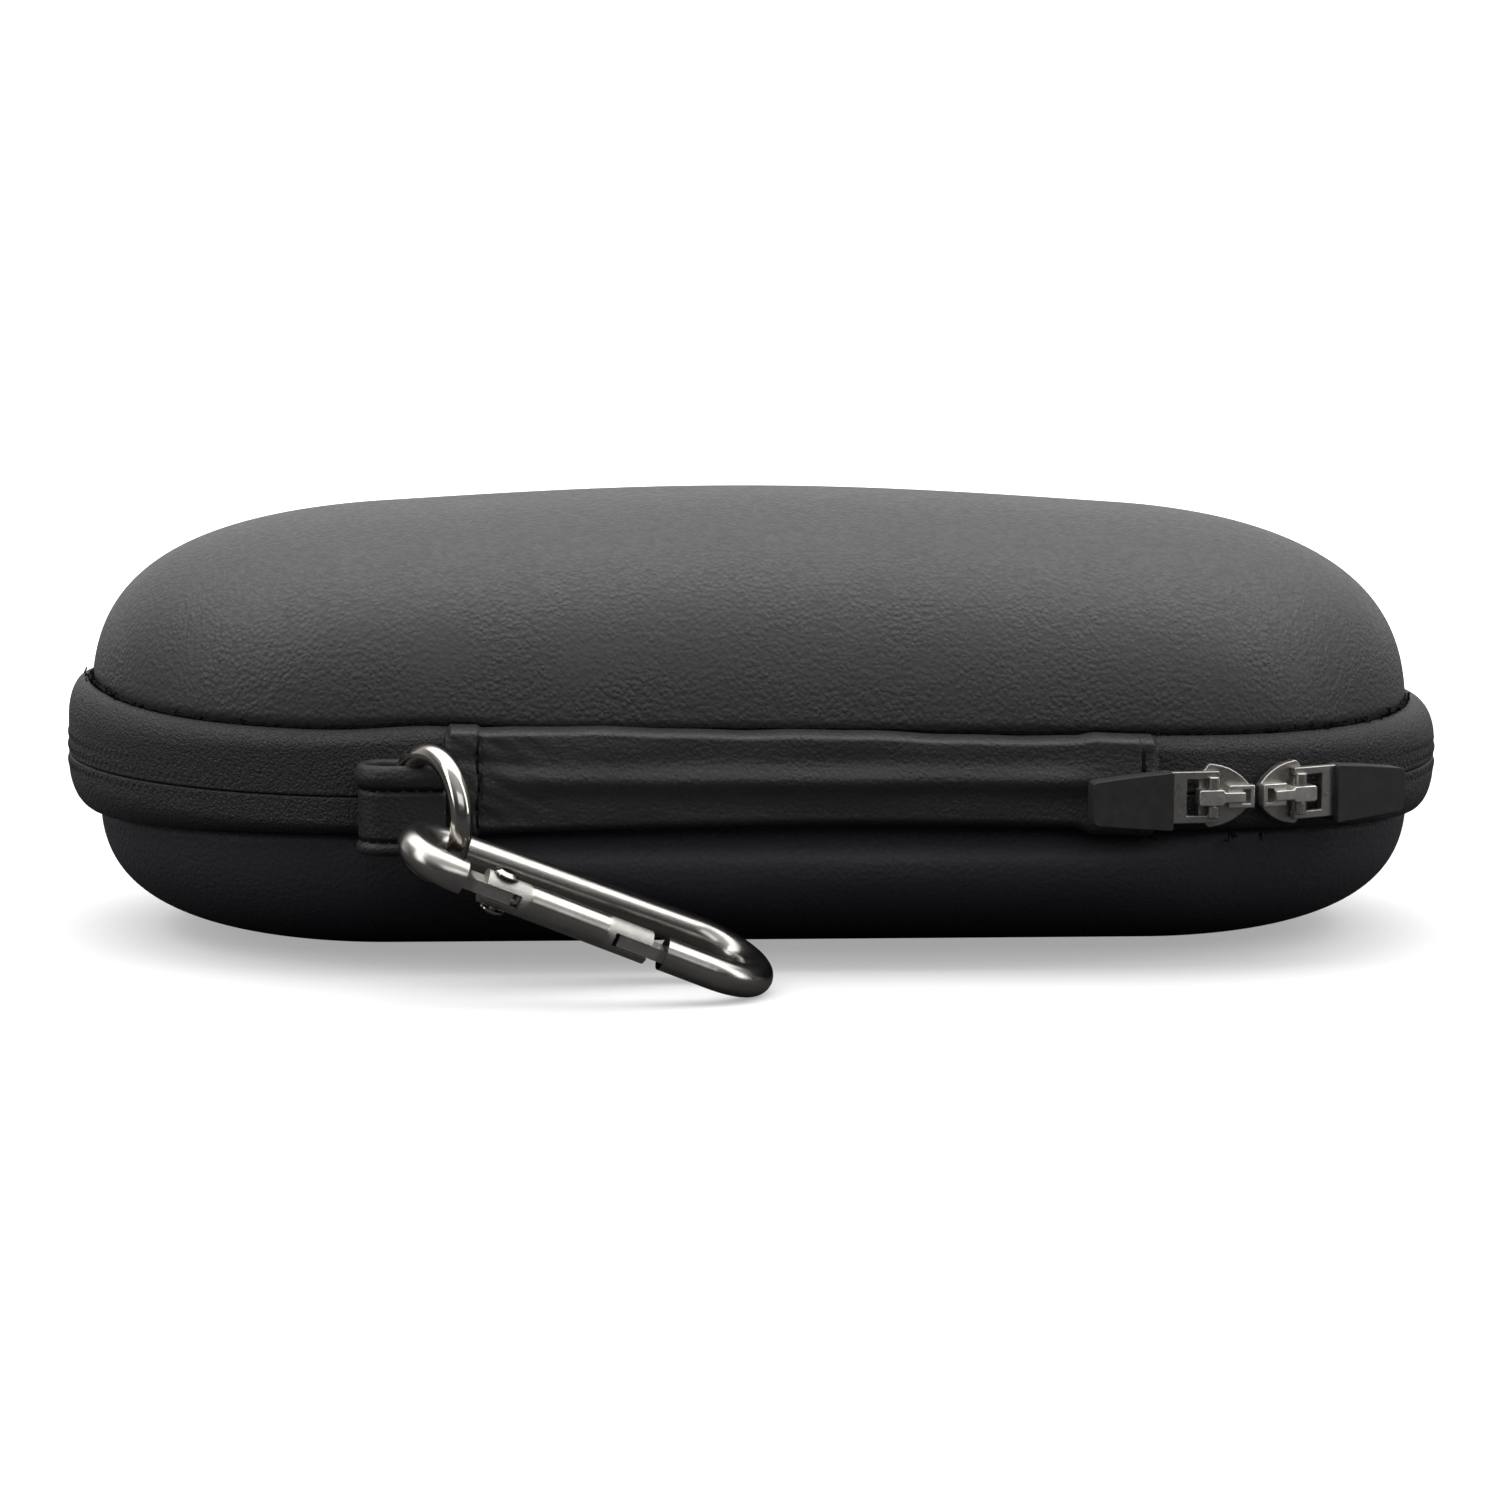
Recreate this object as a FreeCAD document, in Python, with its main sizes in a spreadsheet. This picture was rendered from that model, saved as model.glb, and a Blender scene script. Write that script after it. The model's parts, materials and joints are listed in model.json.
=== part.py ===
"""Zip-round eyeglasses case: two moulded leather-covered halves joined by a leather hinge panel,
closed by a two-slider zipper, with a strap loop, a ring and a small spring-gate carabiner.

Frame: +X along the case, the hinge side faces -Y, +Z up, origin in the middle of the underside.
Lengths are in millimetres, angles in degrees.
"""
import FreeCAD, Part
import math
import os

import Sketcher
from FreeCAD import Placement, Rotation, Vector

SIZES = {
    # plan outline: two half circles joined by straight sides
    "half_straight": 46.2,
    "band_radius": 39.0,
    "seam_height": 22.0,
    # leather, moulded foam and lining
    "skin": 1.0,
    "foam": 2.4,
    "lining": 1.0,
    # half shells
    "rim_gap": 3.7,
    "lid_rim_radius": 37.0,
    "lid_top": 53.4,
    "lid_crown": 2.4,
    "lid_draft": 14.0,
    "lid_shoulder": 13.0,
    "lid_cap": 66.0,
    "base_rim_radius": 35.9,
    "base_draft": 12.0,
    "base_shoulder": 14.0,
    # zipper tapes, coils and padded edges
    "tape": 1.0,
    "tape_gap": 0.5,
    "tape_up": 7.0,
    "tape_down": 4.8,
    "coil_gap": 0.6,
    "coil_height": 2.5,
    "coil_depth": 2.1,
    "coil_inset": 1.2,
    "welt_up": 8.0,
    "welt_down": 5.8,
    "welt_slack": 0.05,
    # hinge panel
    "panel_left": 40.0,
    "panel_right": 44.5,
    "panel": 1.2,
    "panel_up": 7.6,
    "panel_down": 4.3,
    "panel_slack": 0.05,
    "tab": 0.7,
    "tab_left": 4.0,
    "tab_right": 1.8,
    # strap loop
    "strap": 1.0,
    "strap_height": 8.8,
    "strap_middle": 21.5,
    "loop_depth": 4.7,
    "loop_length": 6.6,
    "loop_end_x": 41.3,
    # ring
    "ring_radius": 6.9,
    "ring_wire": 1.3,
    "ring_slack": 0.2,
    "ring_from_end": 4.2,
    "ring_turn": 60.2,
    # carabiner, in its own plane: gate along x, spine towards +y, gate pivot at zero
    "wire": 2.0,
    "narrow_radius": 5.25,
    "wide_radius": 6.8,
    "narrow_x": 4.8,
    "wide_x": 27.0,
    "round_start": 4.6,
    "nose_start": 20.7,
    "gate_back": 2.1,
    "gate_length": 20.8,
    "gate_slot": 4.4,
    "nose_slot": 4.5,
    "slot_floor": 0.9,
    "tang": 1.5,
    "tang_half": 1.6,
    "tang_slack": 0.1,
    "rivet": 0.6,
    "rivet_slack": 0.05,
    "spring_radius": 0.8,
    "spring_wire": 0.25,
    # where the carabiner lies: gate pivot, then turn, dip and roll
    "pivot_x": -34.4,
    "pivot_y": -57.35,
    "pivot_z": 14.0,
    "carabiner_turn": 7.8,
    "carabiner_dip": 22.3,
    "carabiner_roll": 10.1,
    # sliders
    "slider_length": 9.8,
    "slider_height": 7.6,
    "plate": 1.4,
    "plate_gap": 0.35,
    "inner_plate_gap": 3.95,
    "inner_plate": 1.15,
    "neck": 0.8,
    "left_park": 6.4,
    "right_park": 22.0,
    "right_pull_lean": 3.0,
    "pin_radius": 0.6,
    "pin_out": 2.75,
    "pin_slack": 0.3,
    "frame_length": 6.4,
    "frame_height": 6.2,
    "frame_bar": 1.2,
    "grip_length": 10.0,
    "grip_tip_height": 4.4,
    "grip_depth": 2.7,
    "grip_anchor": 3.0,
}

doc = FreeCAD.newDocument("EyeglassesCase")
sheet = doc.addObject("Spreadsheet::Sheet", "Sizes")
for row, (alias, number) in enumerate(SIZES.items(), start=1):
    sheet.set(f"A{row}", alias)
    sheet.set(f"B{row}", str(number))
    sheet.setAlias(f"B{row}", alias)
doc.recompute()


class Dim:
    """A length with its number and the expression that binds it to the sheet."""

    def __init__(self, number, text):
        self.number = number
        self.text = text

    def __add__(self, other):
        other = dim(other)
        return Dim(self.number + other.number, f"({self.text} + {other.text})")

    def __sub__(self, other):
        other = dim(other)
        return Dim(self.number - other.number, f"({self.text} - {other.text})")

    def __mul__(self, factor):
        return Dim(self.number * factor, f"({self.text} * {factor})")

    def __neg__(self):
        return self * -1


def dim(value):
    """A Dim from a sheet alias, a plain number or a Dim."""
    if isinstance(value, Dim):
        return value
    if isinstance(value, str):
        return Dim(SIZES[value], f"Sizes.{value}")
    return Dim(float(value), f"({float(value)})")


nodes = []


def new_body(label):
    body = doc.addObject("PartDesign::Body", label)
    body.Label = label
    nodes.append(body)
    return body


def new_sketch(body, role, offset=0.0):
    """A sketch on one of the body's own origin planes, moved along the plane's normal."""
    sketch = body.newObject("Sketcher::SketchObject", body.Label + "_sketch")
    plane = next(item for item in body.Origin.OriginFeatures if item.Role == role)
    sketch.AttachmentSupport = [(plane, "")]
    sketch.MapMode = "FlatFace"
    sketch.setExpression("AttachmentOffset.Base.z", dim(offset).text)
    return sketch


def bind(sketch, *constraint):
    """Adds a dimensional constraint whose last item is a Dim, bound to the sheet."""
    *place, size = constraint
    size = dim(size)
    number = math.radians(size.number) if place[0] == "Angle" else size.number
    index = sketch.addConstraint(Sketcher.Constraint(*place, number))
    text = f"{size.text} * 1 deg" if place[0] == "Angle" else size.text
    sketch.setExpression(f"Constraints[{index}]", text)


def relate(sketch, *constraint):
    sketch.addConstraint(Sketcher.Constraint(*constraint))


START, END, CENTRE = 1, 2, 3
ORIGIN = (-1, 1)
X_AXIS, Y_AXIS = -1, -2


def pin_point(sketch, item, end, x, y):
    """Fixes a point at bound coordinates."""
    for kind, axis, size in (("DistanceX", Y_AXIS, dim(x)), ("DistanceY", X_AXIS, dim(y))):
        if abs(size.number) < 1e-9:
            relate(sketch, "PointOnObject", item, end, axis)
        else:
            bind(sketch, kind, item, end, size)


def polygon(sketch, corners):
    """A closed outline of straight edges through bound corner points."""
    places = [Vector(dim(x).number, dim(y).number, 0) for x, y in corners]
    items = []
    for here, there in zip(places, places[1:] + places[:1]):
        items.append(sketch.addGeometry(Part.LineSegment(here, there), False))
    for item, after in zip(items, items[1:] + items[:1]):
        relate(sketch, "Coincident", item, END, after, START)
    for item, (x, y) in zip(items, corners):
        pin_point(sketch, item, START, x, y)


def rectangle(sketch, low_x, high_x, low_y, high_y):
    polygon(sketch, [(low_x, low_y), (high_x, low_y), (high_x, high_y), (low_x, high_y)])


def circle(sketch, x, y, radius):
    place = Vector(dim(x).number, dim(y).number, 0)
    item = sketch.addGeometry(Part.Circle(place, Vector(0, 0, 1), dim(radius).number), False)
    pin_point(sketch, item, CENTRE, x, y)
    bind(sketch, "Radius", item, radius)


def stadium(sketch, radius):
    """The case's plan outline at a given end radius."""
    radius = dim(radius)
    reach, r = SIZES["half_straight"], radius.number
    up = Vector(0, 0, 1)
    right = Part.Circle(Vector(reach, 0, 0), up, r)
    left = Part.Circle(Vector(-reach, 0, 0), up, r)
    half, quarter = math.pi, math.pi / 2
    items = [
        sketch.addGeometry(Part.LineSegment(Vector(-reach, -r, 0), Vector(reach, -r, 0)), False),
        sketch.addGeometry(Part.ArcOfCircle(right, -quarter, quarter), False),
        sketch.addGeometry(Part.LineSegment(Vector(reach, r, 0), Vector(-reach, r, 0)), False),
        sketch.addGeometry(Part.ArcOfCircle(left, quarter, quarter + half), False),
    ]
    for item, after in zip(items, items[1:] + items[:1]):
        relate(sketch, "Tangent", item, END, after, START)
    pin_point(sketch, items[1], CENTRE, dim("half_straight"), 0.0)
    pin_point(sketch, items[3], CENTRE, -dim("half_straight"), 0.0)
    bind(sketch, "Radius", items[1], radius)
    bind(sketch, "Radius", items[3], radius)


def pad(body, sketch, length):
    feature = body.newObject("PartDesign::Pad", body.Label + "_pad")
    feature.Profile = sketch
    feature.setExpression("Length", dim(length).text)
    sketch.Visibility = False
    return feature


def pocket(body, sketch, length):
    """Cuts along the sketch's own normal."""
    feature = body.newObject("PartDesign::Pocket", body.Label + "_pocket")
    feature.Profile = sketch
    feature.setExpression("Length", dim(length).text)
    feature.Reversed = True
    return feature


def round_edges(body, radius, wanted):
    """Fillets the edges of the body's tip for which wanted(edge) is true."""
    doc.recompute()
    base = body.Tip
    names = [f"Edge{n}" for n, edge in enumerate(base.Shape.Edges, start=1) if wanted(edge)]
    feature = body.newObject("PartDesign::Fillet", body.Label + "_fillet")
    feature.Base = (base, names)
    feature.Radius = radius
    return feature


def at_height(height):
    """Edges that lie flat at a given height."""
    def wanted(edge):
        box = edge.BoundBox
        return abs(box.ZMin - height) < 1e-4 and abs(box.ZMax - height) < 1e-4
    return wanted


def along(axis):
    """Straight edges parallel to an axis."""
    def wanted(edge):
        if edge.Curve.TypeId != "Part::GeomLine":
            return False
        return edge.Curve.Direction.cross(axis).Length < 1e-6
    return wanted


# ---------------------------------------------------------------- half shells


def shell_section(sketch, side, surface, top):
    """Half of a shell's cross-section: rim, drafted wall, shoulder arc, then a cap arc or a flat floor."""
    r, rim, draft = surface["radius"], surface["rim"], surface["draft"]
    shoulder, cap = surface["shoulder"], surface["cap"]
    up = 1 if top.number > rim.number else -1
    slope = math.tan(math.radians(draft.number))
    lean = math.radians(draft.number)
    rs, height = shoulder.number, abs(top.number - rim.number)

    def wall_inset(z):
        return r.number - slope * z - rs / math.cos(lean)

    if cap is None:
        centre_z = height - rs
        centre_r = wall_inset(centre_z)
        top_angle = math.pi / 2
    else:
        # the shoulder circle touches the wall and, from inside, the cap circle
        low, high = 0.0, height
        reach = cap.number - rs
        for _ in range(60):
            centre_z = (low + high) / 2
            gap = math.hypot(wall_inset(centre_z), centre_z - (height - cap.number)) - reach
            low, high = (low, centre_z) if gap > 0 else (centre_z, high)
        centre_r = wall_inset(centre_z)
        top_angle = math.atan2(centre_z - (height - cap.number), centre_r)

    def place(radius_out, z):
        return Vector(side * radius_out, rim.number + up * z, 0)

    wall_top = place(centre_r + rs * math.cos(lean), centre_z + rs * math.sin(lean))
    arc_top = place(centre_r + rs * math.cos(top_angle), centre_z + rs * math.sin(top_angle))
    arc_middle_angle = (lean + top_angle) / 2
    arc_middle = place(centre_r + rs * math.cos(arc_middle_angle),
                       centre_z + rs * math.sin(arc_middle_angle))
    centre_top = place(0.0, height)

    rim_line = sketch.addGeometry(Part.LineSegment(place(0, 0), place(r.number, 0)), False)
    wall = sketch.addGeometry(Part.LineSegment(place(r.number, 0), wall_top), False)
    bend = sketch.addGeometry(Part.Arc(wall_top, arc_middle, arc_top), False)
    if cap is None:
        crown = sketch.addGeometry(Part.LineSegment(arc_top, centre_top), False)
    else:
        half_angle = (top_angle + math.pi / 2) / 2
        crown_middle = place(cap.number * math.cos(half_angle),
                             height - cap.number + cap.number * math.sin(half_angle))
        crown = sketch.addGeometry(Part.Arc(arc_top, crown_middle, centre_top), False)
    axis = sketch.addGeometry(Part.LineSegment(centre_top, place(0, 0)), False)

    # an arc keeps its own direction, so its ends are matched to where it was drawn from
    def end_at(item, point):
        first = sketch.getPoint(item, START)
        return START if first.distanceToPoint(point) < 1e-6 else END

    relate(sketch, "Coincident", rim_line, END, wall, START)
    relate(sketch, "Tangent", wall, END, bend, end_at(bend, wall_top))
    relate(sketch, "Tangent", bend, end_at(bend, arc_top), crown, end_at(crown, arc_top))
    relate(sketch, "Coincident", crown, end_at(crown, centre_top), axis, START)
    relate(sketch, "Coincident", axis, END, rim_line, START)
    relate(sketch, "PointOnObject", rim_line, START, Y_AXIS)
    relate(sketch, "Vertical", axis)
    relate(sketch, "Horizontal", rim_line)
    bind(sketch, "DistanceX", rim_line, END, r * side)
    bind(sketch, "DistanceY", rim_line, START, rim)
    bind(sketch, "Radius", bend, shoulder)
    if cap is None:
        relate(sketch, "Horizontal", crown)
        bind(sketch, "DistanceY", axis, START, top)
    else:
        relate(sketch, "PointOnObject", crown, CENTRE, Y_AXIS)
        bind(sketch, "Radius", crown, cap)
        bind(sketch, "DistanceY", axis, START, top)
    lean_in = Dim(90.0, "90") + draft * side
    bind(sketch, "Angle", wall, lean_in * up)


def solid_shell(body, surface, cut):
    """Adds or cuts the solid under one shell surface: straight middle and two half-round ends."""
    reach = dim("half_straight")
    verb = "Subtractive" if cut else "Additive"
    for side in (1, -1):
        sections = []
        for fraction, lift in ((-1, 0.0), (0, 1.0), (1, 0.0)):
            sketch = new_sketch(body, "YZ_Plane", reach * fraction)
            shell_section(sketch, side, surface, surface["top"] + surface["crown"] * lift)
            sections.append(sketch)
        if surface["crown"].number == 0:
            feature = body.newObject("PartDesign::Pocket" if cut else "PartDesign::Pad",
                                     body.Label + "_middle")
            feature.Profile = sections[0]
            feature.setExpression("Length", (reach * 2).text)
            feature.Reversed = cut
            for spare in sections[1:]:
                doc.removeObject(spare.Name)
        else:
            feature = body.newObject(f"PartDesign::{verb}Loft", body.Label + "_middle")
            feature.Profile = sections[0]
            feature.Sections = sections[1:]
    for end in (-1, 1):
        sketch = new_sketch(body, "YZ_Plane", reach * end)
        shell_section(sketch, 1, surface, surface["top"])
        feature = body.newObject("PartDesign::Groove" if cut else "PartDesign::Revolution",
                                 body.Label + "_end")
        feature.Profile = sketch
        feature.ReferenceAxis = (sketch, ["V_Axis"])
        feature.Angle = 180.0
        feature.Reversed = end > 0


def lid_surface(inset):
    inset = dim(inset)
    return {"radius": dim("lid_rim_radius") - inset, "rim": dim("seam_height") + "rim_gap",
            "draft": dim("lid_draft"), "shoulder": dim("lid_shoulder") - inset,
            "cap": dim("lid_cap") - inset, "top": dim("lid_top") - "lid_crown" - inset,
            "crown": dim("lid_crown")}


def base_surface(inset):
    inset = dim(inset)
    return {"radius": dim("base_rim_radius") - inset, "rim": dim("seam_height") - "rim_gap",
            "draft": dim("base_draft"), "shoulder": dim("base_shoulder") - inset,
            "cap": None, "top": inset, "crown": dim(0.0)}


def make_shells():
    """Leather skin, moulded foam shell and lining of each half, one inside the other."""
    for half, surface in (("upper", lid_surface), ("lower", base_surface)):
        depth = dim(0.0)
        for layer, thickness in (("skin", "skin"), ("shell", "foam"), ("lining", "lining")):
            body = new_body(f"{half}_{layer}")
            solid_shell(body, surface(depth), cut=False)
            depth = depth + thickness
            solid_shell(body, surface(depth), cut=True)


# ---------------------------------------------------------------- zipper and edges


def hinge_gap(body, low, height):
    """Cuts a ring away where the hinge panel takes its place."""
    sketch = new_sketch(body, "XY_Plane", low)
    rectangle(sketch, -dim("panel_left"), dim("panel_right"),
              -(dim("band_radius") + 2.0), -(dim("band_radius") - 8.0))
    pocket(body, sketch, height)


def ring_band(label, outer, inner, low, high, gapped):
    body = new_body(label)
    sketch = new_sketch(body, "XY_Plane", low)
    stadium(sketch, outer)
    stadium(sketch, inner)
    pad(body, sketch, dim(high) - low)
    if gapped:
        hinge_gap(body, low, dim(high) - low)
    return body


def make_bands():
    seam, band = dim("seam_height"), dim("band_radius")
    tape_inner = band - "tape"
    coil_outer = band - "coil_inset"
    coil_inner = coil_outer - "coil_depth"
    coil_top = dim("coil_gap") + "coil_height"
    ring_band("upper_zip_tape", band, tape_inner, seam + "tape_gap", seam + "tape_up", True)
    ring_band("lower_zip_tape", band, tape_inner, seam - "tape_down", seam - "tape_gap", True)
    ring_band("upper_coil", coil_outer, coil_inner, seam + "coil_gap", seam + coil_top, True)
    ring_band("lower_coil", coil_outer, coil_inner, seam - coil_top, seam - "coil_gap", True)
    welt = ring_band("upper_edge_welt", tape_inner, dim("lid_rim_radius") + "welt_slack",
                     seam + "rim_gap", seam + "welt_up", False)
    round_edges(welt, 0.4, at_height((seam + "welt_up").number))
    welt = ring_band("lower_edge_welt", tape_inner, dim("base_rim_radius") + "welt_slack",
                     seam - "welt_down", seam - "rim_gap", False)
    round_edges(welt, 0.9, at_height((seam - "welt_down").number))


# ---------------------------------------------------------------- hinge panel and strap


def upright_plate(label, low_x, high_x, low_z, high_z, out, thickness, corner):
    """A plate standing on the hinge side, its inner face at y = -out."""
    body = new_body(label)
    sketch = new_sketch(body, "XZ_Plane", out)
    rectangle(sketch, low_x, high_x, low_z, high_z)
    pad(body, sketch, thickness)
    round_edges(body, corner, along(Vector(0, 1, 0)))
    return body


def make_hinge():
    seam, band = dim("seam_height"), dim("band_radius")
    left, right = -dim("panel_left"), dim("panel_right")
    out = band + "panel_slack"
    low, high = seam - "panel_down", seam + "panel_up"
    upright_plate("hinge_panel", left, right, low, high, out, "panel", 1.5)
    tab_out = out + "panel"
    upright_plate("zip_end_tab_left", left, left + "tab_left", low, high, tab_out, "tab", 0.6)
    upright_plate("zip_end_tab_right", right - "tab_right", right, low, high, tab_out, "tab", 0.6)
    rim, slack = dim("rim_gap"), dim(0.1)
    inner = dim("lid_rim_radius") - "skin" - "foam" + 0.4
    upright_plate("hinge_lining", left, right, seam - rim + slack, seam + rim - slack,
                  inner, "lining", 0.6)


def make_strap_loop():
    """A leather belt loop with an upright bore, its fold at the far end and its tail at the panel."""
    body = new_body("strap_loop")
    low = dim("strap_middle") - dim("strap_height") * 0.5
    sketch = new_sketch(body, "XY_Plane", low)
    wall, depth = dim("strap"), dim("loop_depth")
    back = -(dim("band_radius") + 0.15)
    tail = -dim("loop_end_x")

    def outline(inset):
        """Rounded at the fold, square at the tail."""
        radius = depth * 0.5 + wall - inset
        fold_x = tail - wall - "loop_length" + depth * 0.5
        high_y, end_x = back - inset, tail - inset
        low_y = high_y - radius * 2
        middle_y = high_y - radius
        bend = Part.ArcOfCircle(
            Part.Circle(Vector(fold_x.number, middle_y.number, 0), Vector(0, 0, 1), radius.number),
            math.pi / 2, 3 * math.pi / 2)
        corners = [Vector(fold_x.number, low_y.number, 0), Vector(end_x.number, low_y.number, 0),
                   Vector(end_x.number, high_y.number, 0), Vector(fold_x.number, high_y.number, 0)]
        arc = sketch.addGeometry(bend, False)
        lines = []
        for here, there in zip(corners, corners[1:]):
            lines.append(sketch.addGeometry(Part.LineSegment(here, there), False))
        relate(sketch, "Tangent", arc, END, lines[0], START)
        relate(sketch, "Coincident", lines[0], END, lines[1], START)
        relate(sketch, "Coincident", lines[1], END, lines[2], START)
        relate(sketch, "Tangent", lines[2], END, arc, START)
        relate(sketch, "Vertical", lines[1])
        relate(sketch, "Horizontal", lines[0])
        bind(sketch, "Radius", arc, radius)
        pin_point(sketch, arc, CENTRE, fold_x, middle_y)
        bind(sketch, "DistanceX", lines[1], START, end_x)

    outline(dim(0.0))
    outline(wall)
    pad(body, sketch, "strap_height")
    round_edges(body, 0.45, at_height((low + "strap_height").number))
    round_edges(body, 0.45, at_height(low.number))
    return body


def ring_axis():
    """The upright wire of the ring inside the loop: where the ring turns."""
    x = -(SIZES["loop_end_x"] + SIZES["ring_from_end"])
    y = -(SIZES["band_radius"] + 0.15 + SIZES["strap"] + SIZES["ring_slack"] + SIZES["ring_wire"])
    return Vector(x, y, SIZES["strap_middle"])


def make_ring():
    torus = doc.addObject("Part::Torus", "ring")
    torus.Label = "ring"
    torus.setExpression("Radius1", "Sizes.ring_radius")
    torus.setExpression("Radius2", "Sizes.ring_wire")
    turn = Rotation(Vector(0, 0, 1), -SIZES["ring_turn"])
    reach = turn.multVec(Vector(SIZES["ring_radius"], 0, 0))
    upright = Rotation(Vector(1, 0, 0), 90)
    torus.Placement = Placement(ring_axis() + reach, turn.multiply(upright))
    nodes.append(torus)


# ---------------------------------------------------------------- carabiner


def carabiner_placement():
    """Local x runs along the gate from its pivot, local y towards the spine."""
    turn = Rotation(Vector(0, 0, 1), SIZES["carabiner_turn"])
    dip = Rotation(Vector(0, 1, 0), SIZES["carabiner_dip"])
    roll = Rotation(Vector(1, 0, 0), SIZES["carabiner_roll"])
    place = Vector(SIZES["pivot_x"], SIZES["pivot_y"], SIZES["pivot_z"])
    return Placement(place, turn.multiply(dip).multiply(roll))


def make_carabiner_frame():
    body = new_body("carabiner_frame")
    path = new_sketch(body, "XY_Plane")
    rn, rw = dim("narrow_radius"), dim("wide_radius")
    xn, xw = -dim("narrow_x"), dim("wide_x")
    up = Vector(0, 0, 1)
    double = 2 * math.asin((rw.number - rn.number) / math.hypot(
        xw.number - xn.number, rw.number - rn.number))
    tilt = math.pi / 2 + double
    narrow = Part.Circle(Vector(xn.number, rn.number, 0), up, rn.number)
    wide = Part.Circle(Vector(xw.number, rw.number, 0), up, rw.number)
    narrow_top = narrow.value(tilt)
    wide_top = wide.value(tilt)
    start = path.addGeometry(Part.LineSegment(
        Vector(-SIZES["round_start"], 0, 0), Vector(xn.number, 0, 0)), False)
    tip = path.addGeometry(Part.ArcOfCircle(narrow, tilt, 3 * math.pi / 2), False)
    spine = path.addGeometry(Part.LineSegment(narrow_top, wide_top), False)
    bow = path.addGeometry(Part.ArcOfCircle(wide, -math.pi / 2, tilt), False)
    nose = path.addGeometry(Part.LineSegment(
        Vector(xw.number, 0, 0), Vector(SIZES["nose_start"], 0, 0)), False)
    relate(path, "Tangent", start, END, tip, END)
    relate(path, "Tangent", tip, START, spine, START)
    relate(path, "Tangent", spine, END, bow, END)
    relate(path, "Tangent", bow, START, nose, START)
    pin_point(path, start, START, -dim("round_start"), 0.0)
    pin_point(path, nose, END, dim("nose_start"), 0.0)
    relate(path, "Horizontal", start)
    relate(path, "Horizontal", nose)
    bind(path, "Radius", tip, rn)
    bind(path, "Radius", bow, rw)
    bind(path, "DistanceX", tip, CENTRE, xn)
    bind(path, "DistanceX", bow, CENTRE, xw)
    doc.recompute()
    section = body.newObject("Sketcher::SketchObject", "wire_section")
    section.AttachmentSupport = [(path, "Edge1")]
    section.MapMode = "NormalToEdge"
    section.MapPathParameter = 0.0
    circle(section, 0.0, 0.0, "wire")
    pipe = body.newObject("PartDesign::AdditivePipe", "wire_pipe")
    pipe.Profile = section
    pipe.Spine = path
    doc.recompute()

    half = dim("tang") * 0.5
    tangs = new_sketch(body, "XY_Plane", -half)
    width = dim("tang_half")
    lug_end = dim("gate_slot") - "gate_back" - 1.0
    rectangle(tangs, -(dim("round_start") + 0.6), lug_end, -width, width)
    nose_end = dim("gate_length") - "gate_back" - "nose_slot" + 0.6
    rectangle(tangs, nose_end, dim("nose_start") + 0.6, -width, dim("slot_floor") - "tang_slack")
    pad(body, tangs, "tang")
    hole = new_sketch(body, "XY_Plane", -half)
    circle(hole, 0.0, 0.0, "rivet")
    pocket(body, hole, "tang")
    body.Placement = carabiner_placement()


def make_gate():
    body = new_body("carabiner_gate")
    section = new_sketch(body, "YZ_Plane", -dim("gate_back"))
    circle(section, 0.0, 0.0, "wire")
    pad(body, section, "gate_length")
    slot_half = dim("tang") * 0.5 + "tang_slack"
    back = -dim("gate_back")
    hinge_slot = new_sketch(body, "XY_Plane", -slot_half)
    rectangle(hinge_slot, back - 1.0, back + "gate_slot", -dim("wire") - 1.0, dim("wire") + 1.0)
    pocket(body, hinge_slot, slot_half * 2)
    tip = back + "gate_length"
    nose_slot = new_sketch(body, "XY_Plane", -slot_half)
    rectangle(nose_slot, tip - "nose_slot", tip + 1.0, -dim("wire") - 1.0, dim("slot_floor"))
    pocket(body, nose_slot, slot_half * 2)
    bore = new_sketch(body, "YZ_Plane", back + "gate_slot" - 0.5)
    circle(bore, 0.0, 0.0, dim("spring_radius") + "spring_wire" + 0.1)
    pocket(body, bore, dim("gate_length") - "gate_slot" - "nose_slot" - 1.5)
    hole = new_sketch(body, "XY_Plane", -dim("wire") - 1.0)
    circle(hole, 0.0, 0.0, dim("rivet") + "rivet_slack")
    pocket(body, hole, dim("wire") * 2 + 2.0)
    body.Placement = carabiner_placement()


def make_gate_rivet():
    """A headed pin through both gate walls and the frame's lug."""
    body = new_body("gate_rivet")
    half = new_sketch(body, "XZ_Plane")
    shank, head = dim("rivet"), dim("rivet") * 2.5
    neck_z = dim("wire") + 0.1
    top_z = neck_z + 0.55
    polygon(half, [(0.0, -top_z), (head * 0.6, -top_z), (head, -neck_z - 0.2), (head, -neck_z),
                   (shank, -neck_z), (shank, neck_z), (head, neck_z), (head, neck_z + 0.2),
                   (head * 0.6, top_z), (0.0, top_z)])
    turned = body.newObject("PartDesign::Revolution", "rivet_turned")
    turned.Profile = half
    turned.ReferenceAxis = (half, ["V_Axis"])
    turned.Angle = 360.0
    body.Placement = carabiner_placement()


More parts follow.
